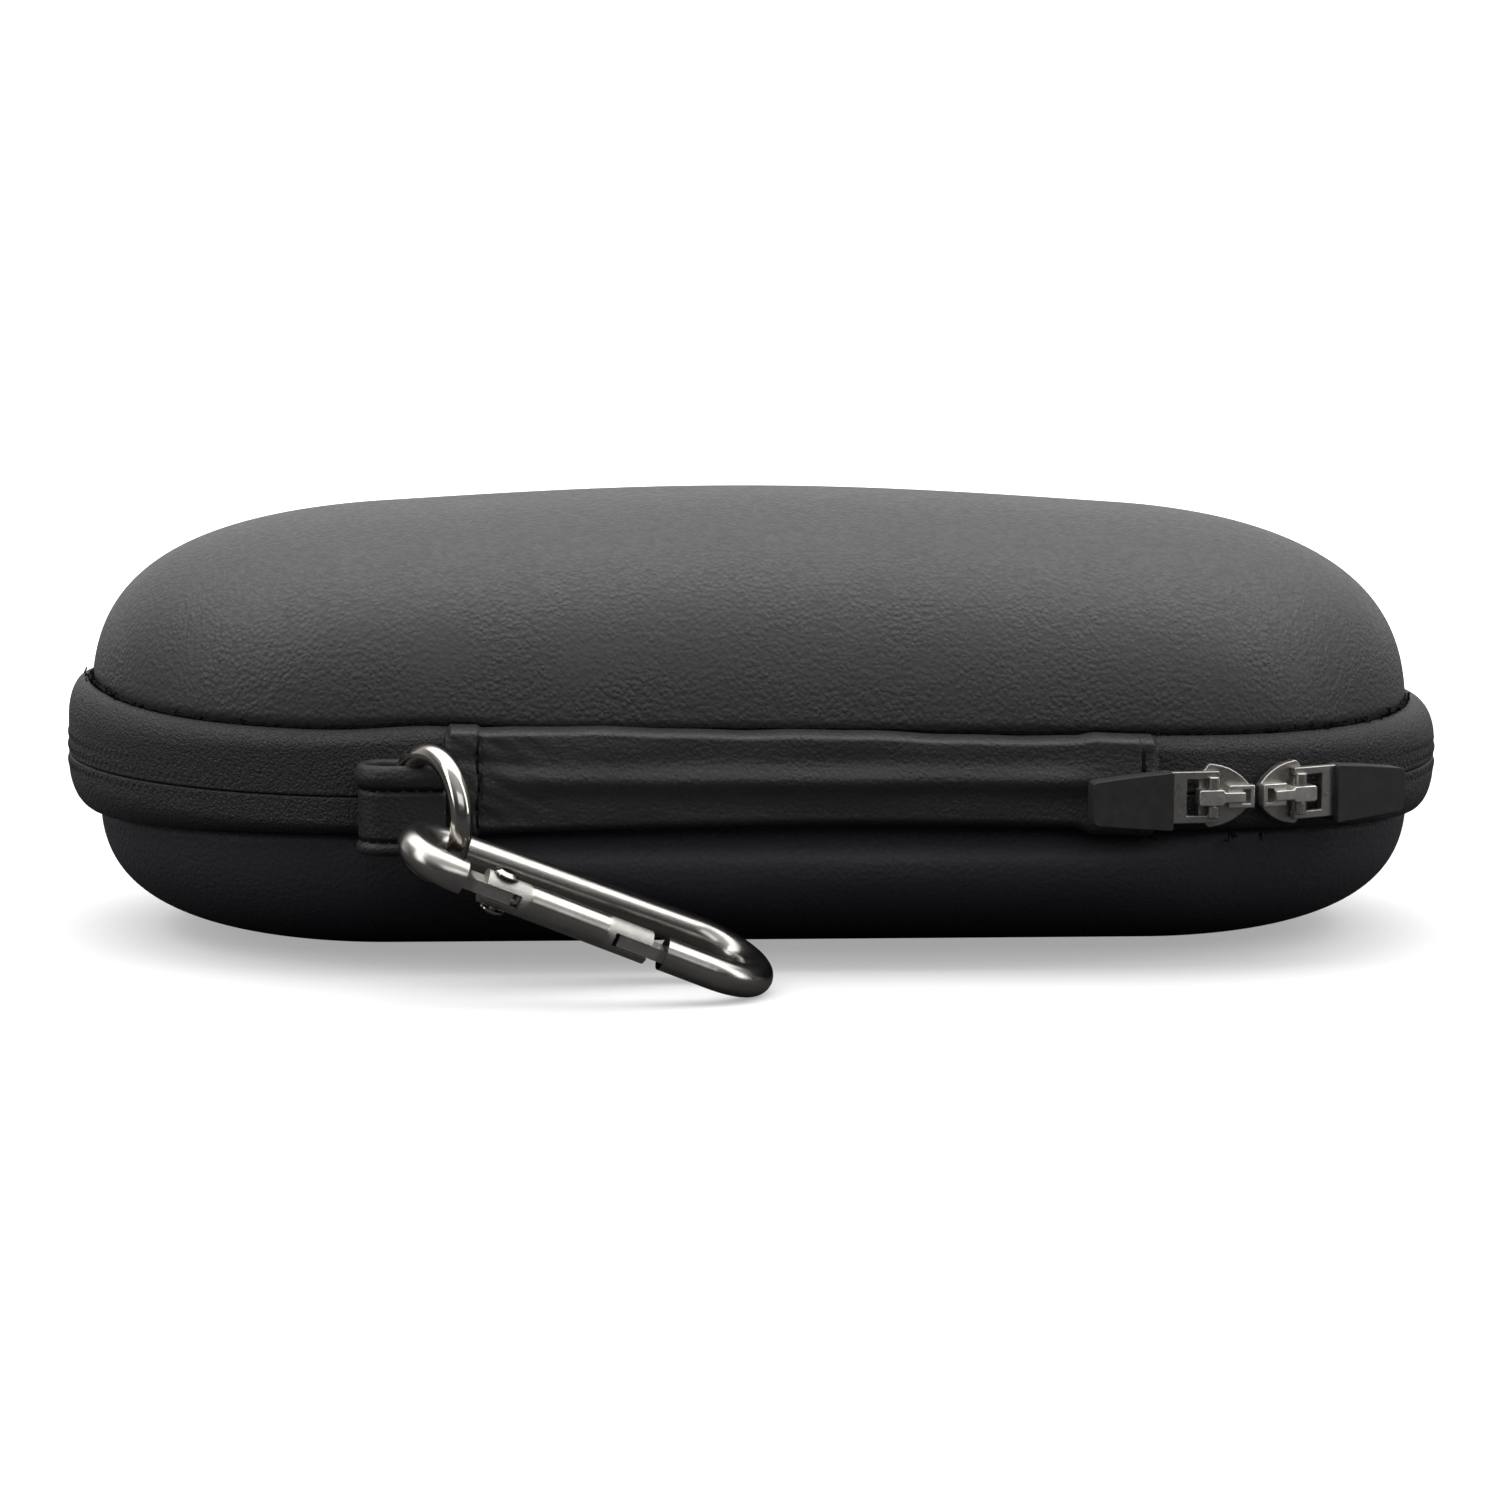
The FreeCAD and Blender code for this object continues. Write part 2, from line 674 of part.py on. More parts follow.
def make_gate_spring():
    """A compression spring in the gate's bore, and the plunger that it pushes on the lug."""
    back = SIZES["gate_slot"] - SIZES["gate_back"]
    plunger = new_body("gate_plunger")
    section = new_sketch(plunger, "YZ_Plane", dim("gate_slot") - "gate_back" - 0.4)
    circle(section, 0.0, 0.0, dim("spring_radius") + "spring_wire")
    pad(plunger, section, 2.6)
    plunger.Placement = carabiner_placement()

    start = back + 2.5
    turns, pitch = 8, 0.85
    helix = Part.makeHelix(pitch, pitch * turns, SIZES["spring_radius"])
    section = Part.Wire(Part.makeCircle(
        SIZES["spring_wire"] * 0.8, Vector(SIZES["spring_radius"], 0, 0), Vector(0, 1, 0)))
    coil = Part.Wire(helix).makePipeShell([section], True, True)
    spring = doc.addObject("Part::Feature", "gate_spring")
    spring.Label = "gate_spring"
    spring.Shape = coil
    lie_along = Placement(Vector(start, 0, 0), Rotation(Vector(0, 1, 0), 90))
    spring.Placement = carabiner_placement().multiply(lie_along)
    nodes.append(spring)


# ---------------------------------------------------------------- sliders and pulls


def slider_placement(park, nose_right):
    """Local x runs along the band towards the slider's nose, local -y points out of the case."""
    seat = Vector(SIZES["half_straight"], -SIZES["band_radius"], SIZES["seam_height"])
    flip = Rotation(Vector(0, 1, 0), 0 if nose_right else 180)
    centre = Vector(SIZES["half_straight"], 0, 0)
    around = Placement(Vector(0, 0, 0), Rotation(Vector(0, 0, 1), park), centre)
    return around.multiply(Placement(seat, flip))


def pull_placement(park, nose_right, lean):
    """The pull leans in towards the band about its upright pin."""
    pin = Vector(0, -SIZES["pin_out"], 0)
    swing = Placement(Vector(0, 0, 0), Rotation(Vector(0, 0, 1), lean), pin)
    return slider_placement(park, nose_right).multiply(swing)


def make_slider(side, park, nose_right):
    body = new_body(f"{side}_slider_body")
    half, high = dim("slider_length") * 0.5, dim("slider_height") * 0.5
    outer = new_sketch(body, "XZ_Plane", "plate_gap")
    flank, nose = high * 0.78, high * 0.34
    polygon(outer, [(-half, -flank), (-1.2, -flank), (0.0, -high), (half * 0.5, -flank),
                    (half, -nose), (half, nose), (half * 0.5, flank), (0.0, high),
                    (-1.2, flank), (-half, flank)])
    pad(body, outer, "plate")
    inner_far = dim("inner_plate_gap") + "inner_plate"
    inner = new_sketch(body, "XZ_Plane", -inner_far)
    inner_half = dim("rim_gap") - 0.6
    rectangle(inner, -half + 0.7, half - 0.7, -inner_half, inner_half)
    pad(body, inner, "inner_plate")
    neck = new_sketch(body, "XZ_Plane", -dim("inner_plate_gap") - 0.3)
    neck_half = dim("neck") * 0.5
    rectangle(neck, half - 2.2, half - 0.9, -neck_half, neck_half)
    pad(body, neck, dim("inner_plate_gap") + "plate_gap" + 0.6)
    face = -(SIZES["plate_gap"] + SIZES["plate"])

    def outer_rim(edge):
        box = edge.BoundBox
        return abs(box.YMin - face) < 1e-4 and abs(box.YMax - face) < 1e-4

    round_edges(body, 0.5, outer_rim)
    body.Placement = slider_placement(park, nose_right)

    crown = new_body(f"{side}_slider_crown")
    foot = -(dim("plate_gap") + "plate")
    roof = -(dim("pin_out") + "pin_radius" + "pin_slack")
    top = roof - 0.65
    arch = new_sketch(crown, "XY_Plane", -0.75)
    polygon(arch, [(-2.0, foot), (-2.0, top + 0.5), (-1.5, top), (3.3, top), (4.1, top + 0.9),
                   (4.1, foot), (2.0, foot), (2.0, roof + 0.3), (1.7, roof), (-1.2, roof),
                   (-1.2, foot)])
    pad(crown, arch, 1.5)
    crown.Placement = slider_placement(park, nose_right)


def make_pull(side, park, nose_right, lean):
    out, length = dim("pin_out"), dim("frame_length")
    high, bar = dim("frame_height") * 0.5, dim("frame_bar")
    pin = dim("pin_radius")
    frame = new_body(f"{side}_pull_frame")
    plate = new_sketch(frame, "XZ_Plane", out - pin)
    rectangle(plate, -length, pin, -high, high)
    window_end = -length + bar * 1.2
    rectangle(plate, window_end, -pin, -high + bar, high - bar)
    pad(frame, plate, pin * 2)
    anchor = new_sketch(frame, "XZ_Plane", out - 0.4)
    rectangle(anchor, -length - "grip_anchor", -length + 0.2, -1.2, 1.2)
    pad(frame, anchor, 0.8)
    frame.Placement = pull_placement(park, nose_right, lean)

    grip = new_body(f"{side}_pull_grip")
    depth = dim("grip_depth")
    outline = new_sketch(grip, "XZ_Plane", out - depth * 0.4)
    tip_x, tip_high = -length - "grip_length", dim("grip_tip_height") * 0.5
    polygon(outline, [(-length, -high), (-length, high), (tip_x, tip_high), (tip_x, -tip_high)])
    pad(grip, outline, depth)
    round_edges(grip, 0.7, along(Vector(0, 1, 0)))
    recess = new_sketch(grip, "XZ_Plane", out - 0.4)
    rectangle(recess, -length - "grip_anchor", -length + 0.2, -1.2, 1.2)
    pocket(grip, recess, 0.8)
    grip.Placement = pull_placement(park, nose_right, lean)


# ---------------------------------------------------------------- build and write

make_shells()
make_bands()
make_hinge()
make_strap_loop()
make_ring()
make_carabiner_frame()
make_gate()
make_gate_rivet()
make_gate_spring()
make_slider("left", SIZES["left_park"], True)
make_pull("left", SIZES["left_park"], True, 0.0)
make_slider("right", SIZES["right_park"], False)
make_pull("right", SIZES["right_park"], False, SIZES["right_pull_lean"])
doc.recompute()

for item in doc.Objects:
    bad = [word for word in item.State if word in ("Invalid", "Error")]
    if bad:
        raise RuntimeError(f"{item.Label}: {bad}")
for node in nodes:
    if node.Shape.isNull() or not node.Shape.isValid():
        raise RuntimeError(f"{node.Label}: shape is null or invalid")

os.makedirs("parts", exist_ok=True)
for node in nodes:
    node.Shape.exportStep(f"parts/{node.Label}.step")
    box = node.Shape.BoundBox
    print(f"{node.Label}: {len(node.Shape.Solids)} solid, {node.Shape.Volume:.1f} mm3, "
          f"z {box.ZMin:.2f} to {box.ZMax:.2f}")
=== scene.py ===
import json
import math
import random

import bmesh
import bpy
import numpy as np
from mathutils import Matrix, Vector


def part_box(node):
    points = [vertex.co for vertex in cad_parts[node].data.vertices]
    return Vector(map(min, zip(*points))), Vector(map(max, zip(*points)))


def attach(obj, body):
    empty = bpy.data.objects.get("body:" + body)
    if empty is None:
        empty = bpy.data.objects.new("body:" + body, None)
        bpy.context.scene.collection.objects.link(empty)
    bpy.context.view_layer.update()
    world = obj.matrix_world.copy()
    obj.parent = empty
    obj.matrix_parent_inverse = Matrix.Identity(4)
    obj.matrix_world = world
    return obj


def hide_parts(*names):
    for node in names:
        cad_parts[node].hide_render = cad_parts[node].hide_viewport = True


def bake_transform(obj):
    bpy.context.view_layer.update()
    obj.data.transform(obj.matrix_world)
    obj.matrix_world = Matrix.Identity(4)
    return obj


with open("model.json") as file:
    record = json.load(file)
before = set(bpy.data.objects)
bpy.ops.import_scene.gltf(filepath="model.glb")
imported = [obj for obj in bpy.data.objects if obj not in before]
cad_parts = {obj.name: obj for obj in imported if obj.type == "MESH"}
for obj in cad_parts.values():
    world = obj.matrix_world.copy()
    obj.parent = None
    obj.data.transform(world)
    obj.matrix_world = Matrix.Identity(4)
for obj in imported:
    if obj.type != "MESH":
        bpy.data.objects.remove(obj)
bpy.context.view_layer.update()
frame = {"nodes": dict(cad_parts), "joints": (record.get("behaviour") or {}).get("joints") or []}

# ---------------------------------------- sizes in millimetres

MM = 0.001


def box_mm(node):
    low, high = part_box(node)
    return low / MM, high / MM


band_high = box_mm("lower_zip_tape")[1]
BAND = band_high.y                       # outside of the zipper band, from the middle line
HALF = band_high.x - band_high.y         # half the length of the straight sides
SEAM = (box_mm("upper_skin")[0].z + box_mm("lower_skin")[1].z) / 2      # where the two zipper tapes meet
LID_TOP = box_mm("upper_lining")[1].z + 4.2             # the leather's crown over the lining's
PANEL_LOW, PANEL_HIGH = box_mm("hinge_panel")
ARC = math.pi * BAND                     # length of the band round one end
PERIMETER = 4 * HALF + 2 * ARC
# Where the sides and the ends meet, measured once round from the middle of the hinge side.
STOPS = (0, HALF, HALF + ARC, 3 * HALF + ARC, 3 * HALF + 2 * ARC, PERIMETER)

SKIN, FOAM, LINING = 1.0, 2.4, 1.0       # thicknesses of a half shell's layers


# ---------------------------------------- node materials


class Nodes:
    """A node tree written as nested calls: each method adds one node and gives its main output."""

    def __init__(self, name, world=False):
        self.owner = (bpy.data.worlds if world else bpy.data.materials).new(name)
        self.owner.use_nodes = True
        self.tree = self.owner.node_tree
        self.shader = self.tree.nodes["Background" if world else "Principled BSDF"]

    def node(self, kind, **inputs):
        made = self.tree.nodes.new("ShaderNode" + kind)
        self.feed(made, inputs)
        return made

    def feed(self, made, inputs):
        for key, value in inputs.items():
            socket = made.inputs[int(key[1:])] if key[0] == "i" and key[1:].isdigit() else made.inputs[key]
            if isinstance(value, bpy.types.NodeSocket):
                self.tree.links.new(value, socket)
            else:
                socket.default_value = value

    def rest(self):
        """The place of a point at rest, in millimetres, as each piece's mesh holds it."""
        made = self.node("Attribute")
        made.attribute_name = "rest"
        return made.outputs["Vector"]

    def object_mm(self):
        """The place of a point in its object's own frame, in millimetres."""
        made = self.node("TexCoord")
        return self.scaled(made.outputs["Object"], (1000.0, 1000.0, 1000.0))

    def scaled(self, vector, factors):
        made = self.node("Mapping", Vector=vector, Scale=factors)
        return made.outputs["Vector"]

    def noise(self, vector, scale, detail=3.0, roughness=0.5, distortion=0.0):
        made = self.node("TexNoise", Vector=vector, Scale=scale, Detail=detail, Roughness=roughness,
                         Distortion=distortion)
        return made.outputs["Fac"]

    def cells(self, vector, scale, feature="F1", spread=1.0, smooth=0.0):
        made = self.tree.nodes.new("ShaderNodeTexVoronoi")
        made.feature = feature
        self.feed(made, {"Vector": vector, "Scale": scale, "Randomness": spread})
        if feature == "SMOOTH_F1":
            made.inputs["Smoothness"].default_value = smooth
        return made.outputs["Distance"]

    def math(self, operation, first, second=0.0):
        made = self.node("Math", i0=first, i1=second)
        made.operation = operation
        return made.outputs[0]

    def spread(self, value, low, high, to_low=0.0, to_high=1.0, kind="LINEAR"):
        made = self.tree.nodes.new("ShaderNodeMapRange")
        made.interpolation_type = kind
        self.feed(made, {"Value": value, "From Min": low, "From Max": high, "To Min": to_low,
                         "To Max": to_high})
        return made.outputs["Result"]

    def blend(self, share, first, second):
        made = self.tree.nodes.new("ShaderNodeMix")
        made.data_type = "RGBA"
        self.feed(made, {"i0": share, "i6": first, "i7": second})
        return made.outputs[2]

    def distance(self, vector, spot):
        made = self.node("VectorMath", i0=vector, i1=tuple(spot))
        made.operation = "DISTANCE"
        return made.outputs["Value"]

    def bump(self, height, distance_mm, strength=1.0, under=None):
        made = self.node("Bump", Height=height, Distance=distance_mm * MM, Strength=strength)
        if under is not None:
            self.tree.links.new(under, made.inputs["Normal"])
        return made.outputs["Normal"]

    def finish(self, **inputs):
        self.feed(self.shader, {key.replace("_", " "): value for key, value in inputs.items()})
        return self.owner


def grey(value, blue=0.0):
    return (value, value, value * (1.0 + blue), 1.0)


def leather(name, tone, blue=0.05, grain=0.65, depth=0.10, crease=0.0, roughness=0.5, gloss=0.4):
    """Pebbled synthetic leather: round cells, finer pores, soft waves from the foam and worn lighter tops."""
    n = Nodes(name)
    place = n.rest()
    wobble = n.noise(place, 0.9, 2.0)
    pebbles = n.cells(place, 1.0 / grain, "SMOOTH_F1", 1.0, 0.35)
    domes = n.spread(pebbles, 0.05, 0.75, 1.0, 0.0)
    pores = n.noise(place, 1.9 / grain, 3.0)
    patches = n.noise(place, 0.055, 3.0)
    strength = n.spread(n.noise(place, 0.13, 2.0), 0.3, 0.7, 0.45, 1.0)
    shape = n.bump(n.noise(place, 0.045, 2.0), 0.5, 0.5)
    shape = n.bump(n.math("MULTIPLY", domes, strength), depth, 1.0, shape)
    shape = n.bump(n.math("MULTIPLY", pores, strength), depth * 1.1, 1.0, shape)
    if crease:
        long_way = n.scaled(place, (0.35, 1.0, 1.0))
        folds = n.noise(long_way, 2.1, 3.0, 0.55, 0.6)
        where = n.spread(n.noise(place, 0.09, 1.0), 0.42, 0.62)
        shape = n.bump(n.math("MULTIPLY", folds, where), crease, 1.0, shape)
    low = n.blend(patches, grey(tone * 0.85, blue), grey(tone * 1.12, blue * 0.6))
    colour = n.blend(n.math("MULTIPLY", domes, 0.35), low, grey(tone * 1.25, blue * 0.5))
    rough = n.math("ADD", n.spread(wobble, 0.3, 0.7, roughness - 0.05, roughness + 0.06),
                   n.spread(domes, 0.0, 1.0, 0.05, -0.04))
    return n.finish(Base_Color=colour, Roughness=rough, Normal=shape, Specular_IOR_Level=gloss)


def tape_leather(name, tone):
    """Coated zipper tape: a finely netted grain over soft waves."""
    n = Nodes(name)
    place = n.rest()
    cells = n.cells(place, 1.8, "DISTANCE_TO_EDGE", 0.9)
    net = n.spread(cells, 0.0, 0.16, 0.0, 1.0)
    waves = n.noise(n.scaled(place, (1.0, 1.0, 0.5)), 0.8, 3.0)
    shape = n.bump(waves, 0.1, 0.6)
    shape = n.bump(net, 0.06, 1.0, shape)
    shape = n.bump(n.noise(place, 2.6, 3.0), 0.22, 1.0, shape)
    worn = n.noise(place, 0.07, 3.0)
    colour = n.blend(worn, grey(tone * 0.85, 0.08), grey(tone * 1.15, 0.05))
    colour = n.blend(n.math("MULTIPLY", net, 0.3), colour, grey(tone * 1.35, 0.05))
    rough = n.spread(n.noise(place, 1.2, 2.0), 0.3, 0.7, 0.5, 0.62)
    return n.finish(Base_Color=colour, Roughness=rough, Normal=shape, Specular_IOR_Level=0.35)


def microfibre(name, tone):
    """Brushed lining cloth: short crossed fibres, soft sheen and rubbed paths."""
    n = Nodes(name)
    place = n.rest()
    warp = n.noise(n.scaled(place, (7.0, 1.2, 7.0)), 1.0, 3.0)
    weft = n.noise(n.scaled(place, (1.2, 7.0, 1.2)), 1.0, 3.0)
    nap = n.math("MAXIMUM", warp, weft)
    brushed = n.noise(place, 0.16, 3.0, 0.5, 1.2)
    colour = n.blend(brushed, grey(tone * 0.8, 0.04), grey(tone * 1.25, 0.02))
    colour = n.blend(n.spread(nap, 0.45, 0.75, 0.0, 0.4), colour, grey(tone * 1.6, 0.02))
    shape = n.bump(nap, 0.08, 0.8)
    return n.finish(Base_Color=colour, Roughness=0.92, Normal=shape, Specular_IOR_Level=0.2,
                    Sheen_Weight=0.5, Sheen_Roughness=0.4)


def foam(name):
    """Closed-cell foam board: small cut cells."""
    n = Nodes(name)
    place = n.rest()
    cells = n.cells(place, 2.4, "F1")
    colour = n.blend(n.spread(cells, 0.1, 0.6), grey(0.02), grey(0.045))
    return n.finish(Base_Color=colour, Roughness=0.9, Normal=n.bump(cells, 0.1, 0.8))


def thread(name, tone):
    """Twisted sewing thread: plies wound round the strand."""
    n = Nodes(name)
    place = n.rest()
    plies = n.noise(n.scaled(place, (3.0, 3.0, 9.0)), 1.4, 2.0)
    colour = n.blend(plies, grey(tone * 0.6), grey(tone * 1.5))
    return n.finish(Base_Color=colour, Roughness=0.85, Normal=n.bump(plies, 0.05, 1.0),
                    Specular_IOR_Level=0.15)


def coil_nylon(name):
    """Black monofilament coil with moulding streaks."""
    n = Nodes(name)
    streaks = n.noise(n.scaled(n.rest(), (1.0, 1.0, 4.0)), 2.0, 2.0)
    colour = n.blend(streaks, grey(0.008), grey(0.02))
    return n.finish(Base_Color=colour, Roughness=0.38, Normal=n.bump(streaks, 0.02, 1.0))


def metal(name, colour, roughness, grain, depth, along=(1.0, 1.0, 1.0), dark=0.75, cast=False,
          riding=False):
    """Plated metal: brushed grain, cloudy polish, dull marks. Cast metal is sandy at the gate's two ends."""
    n = Nodes(name)
    place = n.rest() if riding else n.object_mm()
    lines = n.noise(n.scaled(place, along), grain, 3.0, 0.6)
    clouds = n.noise(place, 0.35, 3.0)
    scratches = n.noise(n.scaled(place, (6.0, 1.0, 1.0)), 1.2, 4.0, 0.7)
    worn = n.spread(scratches, 0.62, 0.7, 0.0, 0.3)
    dull = tuple(c * dark for c in colour[:3]) + (1.0,)
    tint = n.blend(n.spread(clouds, 0.3, 0.7), dull, colour)
    tint = n.blend(worn, tint, tuple(min(1.0, c * 1.15) for c in colour[:3]) + (1.0,))
    rough = n.math("ADD", n.spread(lines, 0.3, 0.7, roughness * 0.75, roughness * 1.25),
                   n.spread(clouds, 0.3, 0.7, 0.04, -0.03))
    shape = n.bump(lines, depth, 1.0)
    if cast:
        low, high = box_mm("carabiner_gate")
        pin = (box_mm("gate_rivet")[0] + box_mm("gate_rivet")[1]) / 2
        nose = low + high - pin
        sandy = n.math("MAXIMUM", *(n.spread(n.distance(place, spot), 4.1, 3.5) for spot in (pin, nose)))
        grit = n.noise(place, 3.6, 4.0, 0.7)
        rough = n.math("ADD", rough, n.math("MULTIPLY", sandy, 0.22))
        shape = n.bump(n.math("MULTIPLY", grit, sandy), 0.12, 0.7, shape)
    return n.finish(Base_Color=tint, Metallic=1.0, Roughness=rough, Normal=shape)


def rubber(name, tone):
    """Moulded soft rubber: a fine spark-eroded texture with dust in it."""
    n = Nodes(name)
    place = n.rest()
    stipple = n.noise(place, 9.0, 3.0, 0.6)
    dust = n.noise(place, 0.6, 4.0, 0.65)
    colour = n.blend(n.spread(dust, 0.45, 0.75), grey(tone, 0.1), grey(tone * 1.5, 0.08))
    rough = n.spread(dust, 0.3, 0.7, 0.5, 0.66)
    return n.finish(Base_Color=colour, Roughness=rough, Normal=n.bump(stipple, 0.02, 0.9),
                    Specular_IOR_Level=0.35)


LID_LEATHER = leather("lid_leather", 0.030, 0.03, grain=0.62, depth=0.10, roughness=0.5, gloss=0.5)
BASE_LEATHER = leather("base_leather", 0.030, 0.30, grain=0.62, depth=0.08, roughness=0.55, gloss=0.22)
PANEL_LEATHER = leather("panel_leather", 0.021, 0.05, grain=0.5, depth=0.07, crease=0.1, roughness=0.45,
                        gloss=0.42)
STRAP_LEATHER = leather("strap_leather", 0.013, 0.05, grain=0.5, depth=0.08, crease=0.06, roughness=0.5,
                        gloss=0.38)
TAPE = tape_leather("zipper_tape_leather", 0.0175)
CLOTH = microfibre("lining_microfibre", 0.03)
FOAM_BOARD = foam("foam_board")
DARK_THREAD = thread("dark_thread", 0.003)
NYLON = coil_nylon("coil_nylon")
POLISHED = metal("polished_nickel_plate", (0.50, 0.475, 0.44, 1.0), 0.13, 1.5, 0.003)
SATIN = metal("satin_nickel_plate", (0.50, 0.48, 0.45, 1.0), 0.2, 5.0, 0.006, (1.0, 6.0, 6.0), cast=True)
ZINC = metal("slider_zinc_plate", (0.40, 0.385, 0.36, 1.0), 0.34, 3.0, 0.003, riding=True, dark=0.9)
# the crown is given a lighter zinc than the body
BRIGHT_ZINC = metal("slider_zinc_lighter", (0.62, 0.60, 0.57, 1.0), 0.38, 3.0, 0.002, riding=True, dark=0.9)
STEEL = metal("spring_steel_wire", (0.50, 0.49, 0.47, 1.0), 0.3, 6.0, 0.008)
RUBBER = rubber("grip_rubber_black", 0.020)


# ---------------------------------------- mesh helpers


def grid_faces(columns, rows, wrap_columns=False, wrap_rows=False):
    """Quads over points numbered column by column."""
    faces = []
    for i in range(columns if wrap_columns else columns - 1):
        k = (i + 1) % columns
        for j in range(rows if wrap_rows else rows - 1):
            m = (j + 1) % rows
            faces.append((i * rows + j, k * rows + j, k * rows + m, i * rows + m))
    return faces


def capped_faces(columns, rows):
    """Quads of a closed section swept along columns, and a cap at each end."""
    last = (columns - 1) * rows
    caps = [tuple(range(rows)), tuple(range(last, last + rows))[::-1]]
    return grid_faces(columns, rows, False, True) + caps


def piece(name, points, faces, material, body=None, slot=None, replaces=()):
    """A smooth mesh in millimetres, riding on a CAD body."""
    mesh = bpy.data.meshes.new(name)
    points = np.asarray(points, float).reshape(-1, 3)
    mesh.from_pydata((points * MM).tolist(), [], faces)
    made = bpy.data.objects.new(name, mesh)
    bpy.context.scene.collection.objects.link(made)
    tidy_mesh(made)
    made.data.materials.append(material)
    keep_rest(made)
    if body:
        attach(made, body)
    if replaces:
        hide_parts(*replaces)
    return made


def tidy_mesh(made):
    """Merges doubled points, turns the faces outward and shades them smooth."""
    work = bmesh.new()
    work.from_mesh(made.data)
    bmesh.ops.remove_doubles(work, verts=work.verts, dist=0.002 * MM)
    bmesh.ops.recalc_face_normals(work, faces=work.faces)
    for face in work.faces:
        face.smooth = True
    work.to_mesh(made.data)
    work.free()


def keep_rest(made):
    """Stores where each point is at rest, in millimetres, for the materials."""
    mesh = made.data
    places = np.empty(len(mesh.vertices) * 3, np.float32)
    mesh.vertices.foreach_get("co", places)
    attribute = mesh.attributes.new("rest", "FLOAT_VECTOR", "POINT")
    attribute.data.foreach_set("vector", places / MM)


def plan(along):
    """Middle-line foot and outward angle at distances along the band, from the middle of the hinge side."""
    along = np.asarray(along, float) % PERIMETER
    foot = np.interp(along, STOPS, (0, HALF, HALF, -HALF, -HALF, 0))
    angle = np.interp(along, STOPS, math.pi * np.array([-0.5, -0.5, 0.5, 0.5, 1.5, 1.5]))
    return foot, angle


def place_rings(along, r, z):
    """Points for radii and heights, both shaped (columns, rows), standing along the plan."""
    foot, angle = plan(along)
    points = np.empty(r.shape + (3,))
    points[..., 0] = foot[:, None] + r * np.cos(angle)[:, None]
    points[..., 1] = r * np.sin(angle)[:, None]
    points[..., 2] = z
    return points


def place_line(along, r, z):
    """The same for a single line of points."""
    return place_rings(along, r[:, None], z[:, None])[:, 0]


def place_spot(along, r, z):
    """One point standing along the plan, and the way ahead there."""
    foot, angle = (float(v[0]) for v in plan([along]))
    spot = Vector((foot + r * math.cos(angle), r * math.sin(angle), z))
    return spot, Vector((-math.sin(angle), math.cos(angle), 0))


def band_x(along):
    """X of the outside of the band."""
    foot, angle = plan(along)
    return foot + BAND * np.cos(angle)


def on_hinge_side(along):
    """Whether a place faces the hinge side: all of the straight, and a little of each bend."""
    return np.sin(plan(along)[1]) < -0.9


def tube_points(path, radius, sides=12, closed=False):
    """Points and faces of a round tube along a path, turned with the path and closed at its ends."""
    path = [Vector(p) for p in path]
    count = len(path)
    radii = radius if hasattr(radius, "__len__") else [radius] * count
    rings, across = [], None
    for i, p in enumerate(path):
        before = path[i - 1] if closed or i else p
        after = path[(i + 1) % count] if closed or i < count - 1 else p
        ahead = (after - before).normalized()
        if across is None:
            across = ahead.orthogonal().normalized()
        across = (across - ahead * across.dot(ahead)).normalized()
        other = ahead.cross(across)
        for k in range(sides):
            a = 2 * math.pi * k / sides
            rings.append(p + (across * math.cos(a) + other * math.sin(a)) * radii[i])
    return rings, grid_faces(count, sides, True, True) if closed else capped_faces(count, sides)


def join(parts):
    """One list of points and faces from several."""
    points, faces = [], []
    for some_points, some_faces in parts:
        start = len(points)
        points.extend(some_points)
        faces.extend(tuple(i + start for i in face) for face in some_faces)
    return points, faces


# ---------------------------------------- shells

# A half shell's wall is a superellipse from its rim to its middle: (r / R) ** n + (h / H) ** m = 1.
# "left" and "right" hold R, n and m at the two ends, and "back" is R along the straight sides.
LID = {"foot": SEAM + 3.4, "left": (36.2, 2.6, 3.0), "right": (35.3, 2.39, 2.74), "back": 36.8}
BASE = {"foot": SEAM - 3.7, "left": (35.2, 2.93, 2.94), "right": (35.8, 2.79, 2.94), "back": 35.9}
COLUMNS = (32, 90, 64, 90, 32)           # columns of points between the stops of the plan
LID_CROWN = 3.56                         # how much lower the lid is over its ends than over its middle
HINGE_SWELL = 2.8                        # how far the base's padding swells out below the hinge panel


def ease(value, low, high):
    """0 at low, 1 at high, smooth between."""
    share = np.clip((value - low) / (high - low), 0, 1)
    return share * share * (3 - 2 * share)


def hill(value, centre, width):
    """1 at the centre, falling away to nothing within about two widths."""
    return np.exp(-((value - centre) / width) ** 2)


def shell_columns():
    """Distances along the band whose feet on the middle line come in pairs, front and back."""
    spans = zip(STOPS, STOPS[1:], COLUMNS)
    return np.concatenate([np.linspace(low, high, count, endpoint=False) for low, high, count in spans])


def shell_radius(shape, along):
    """The wall's widest radius at distances along the band, and its exponents."""
    foot, angle = plan(along)
    left = 0.5 - 0.5 * foot / HALF
    (r_left, n_left, m_left), (r_right, n_right, m_right) = shape["left"], shape["right"]
    side = r_right + (r_left - r_right) * left
    radius = side * np.cos(angle) ** 2 + shape["back"] * np.sin(angle) ** 2
    return radius, n_right + (n_left - n_right) * left, m_right + (m_left - m_right) * left


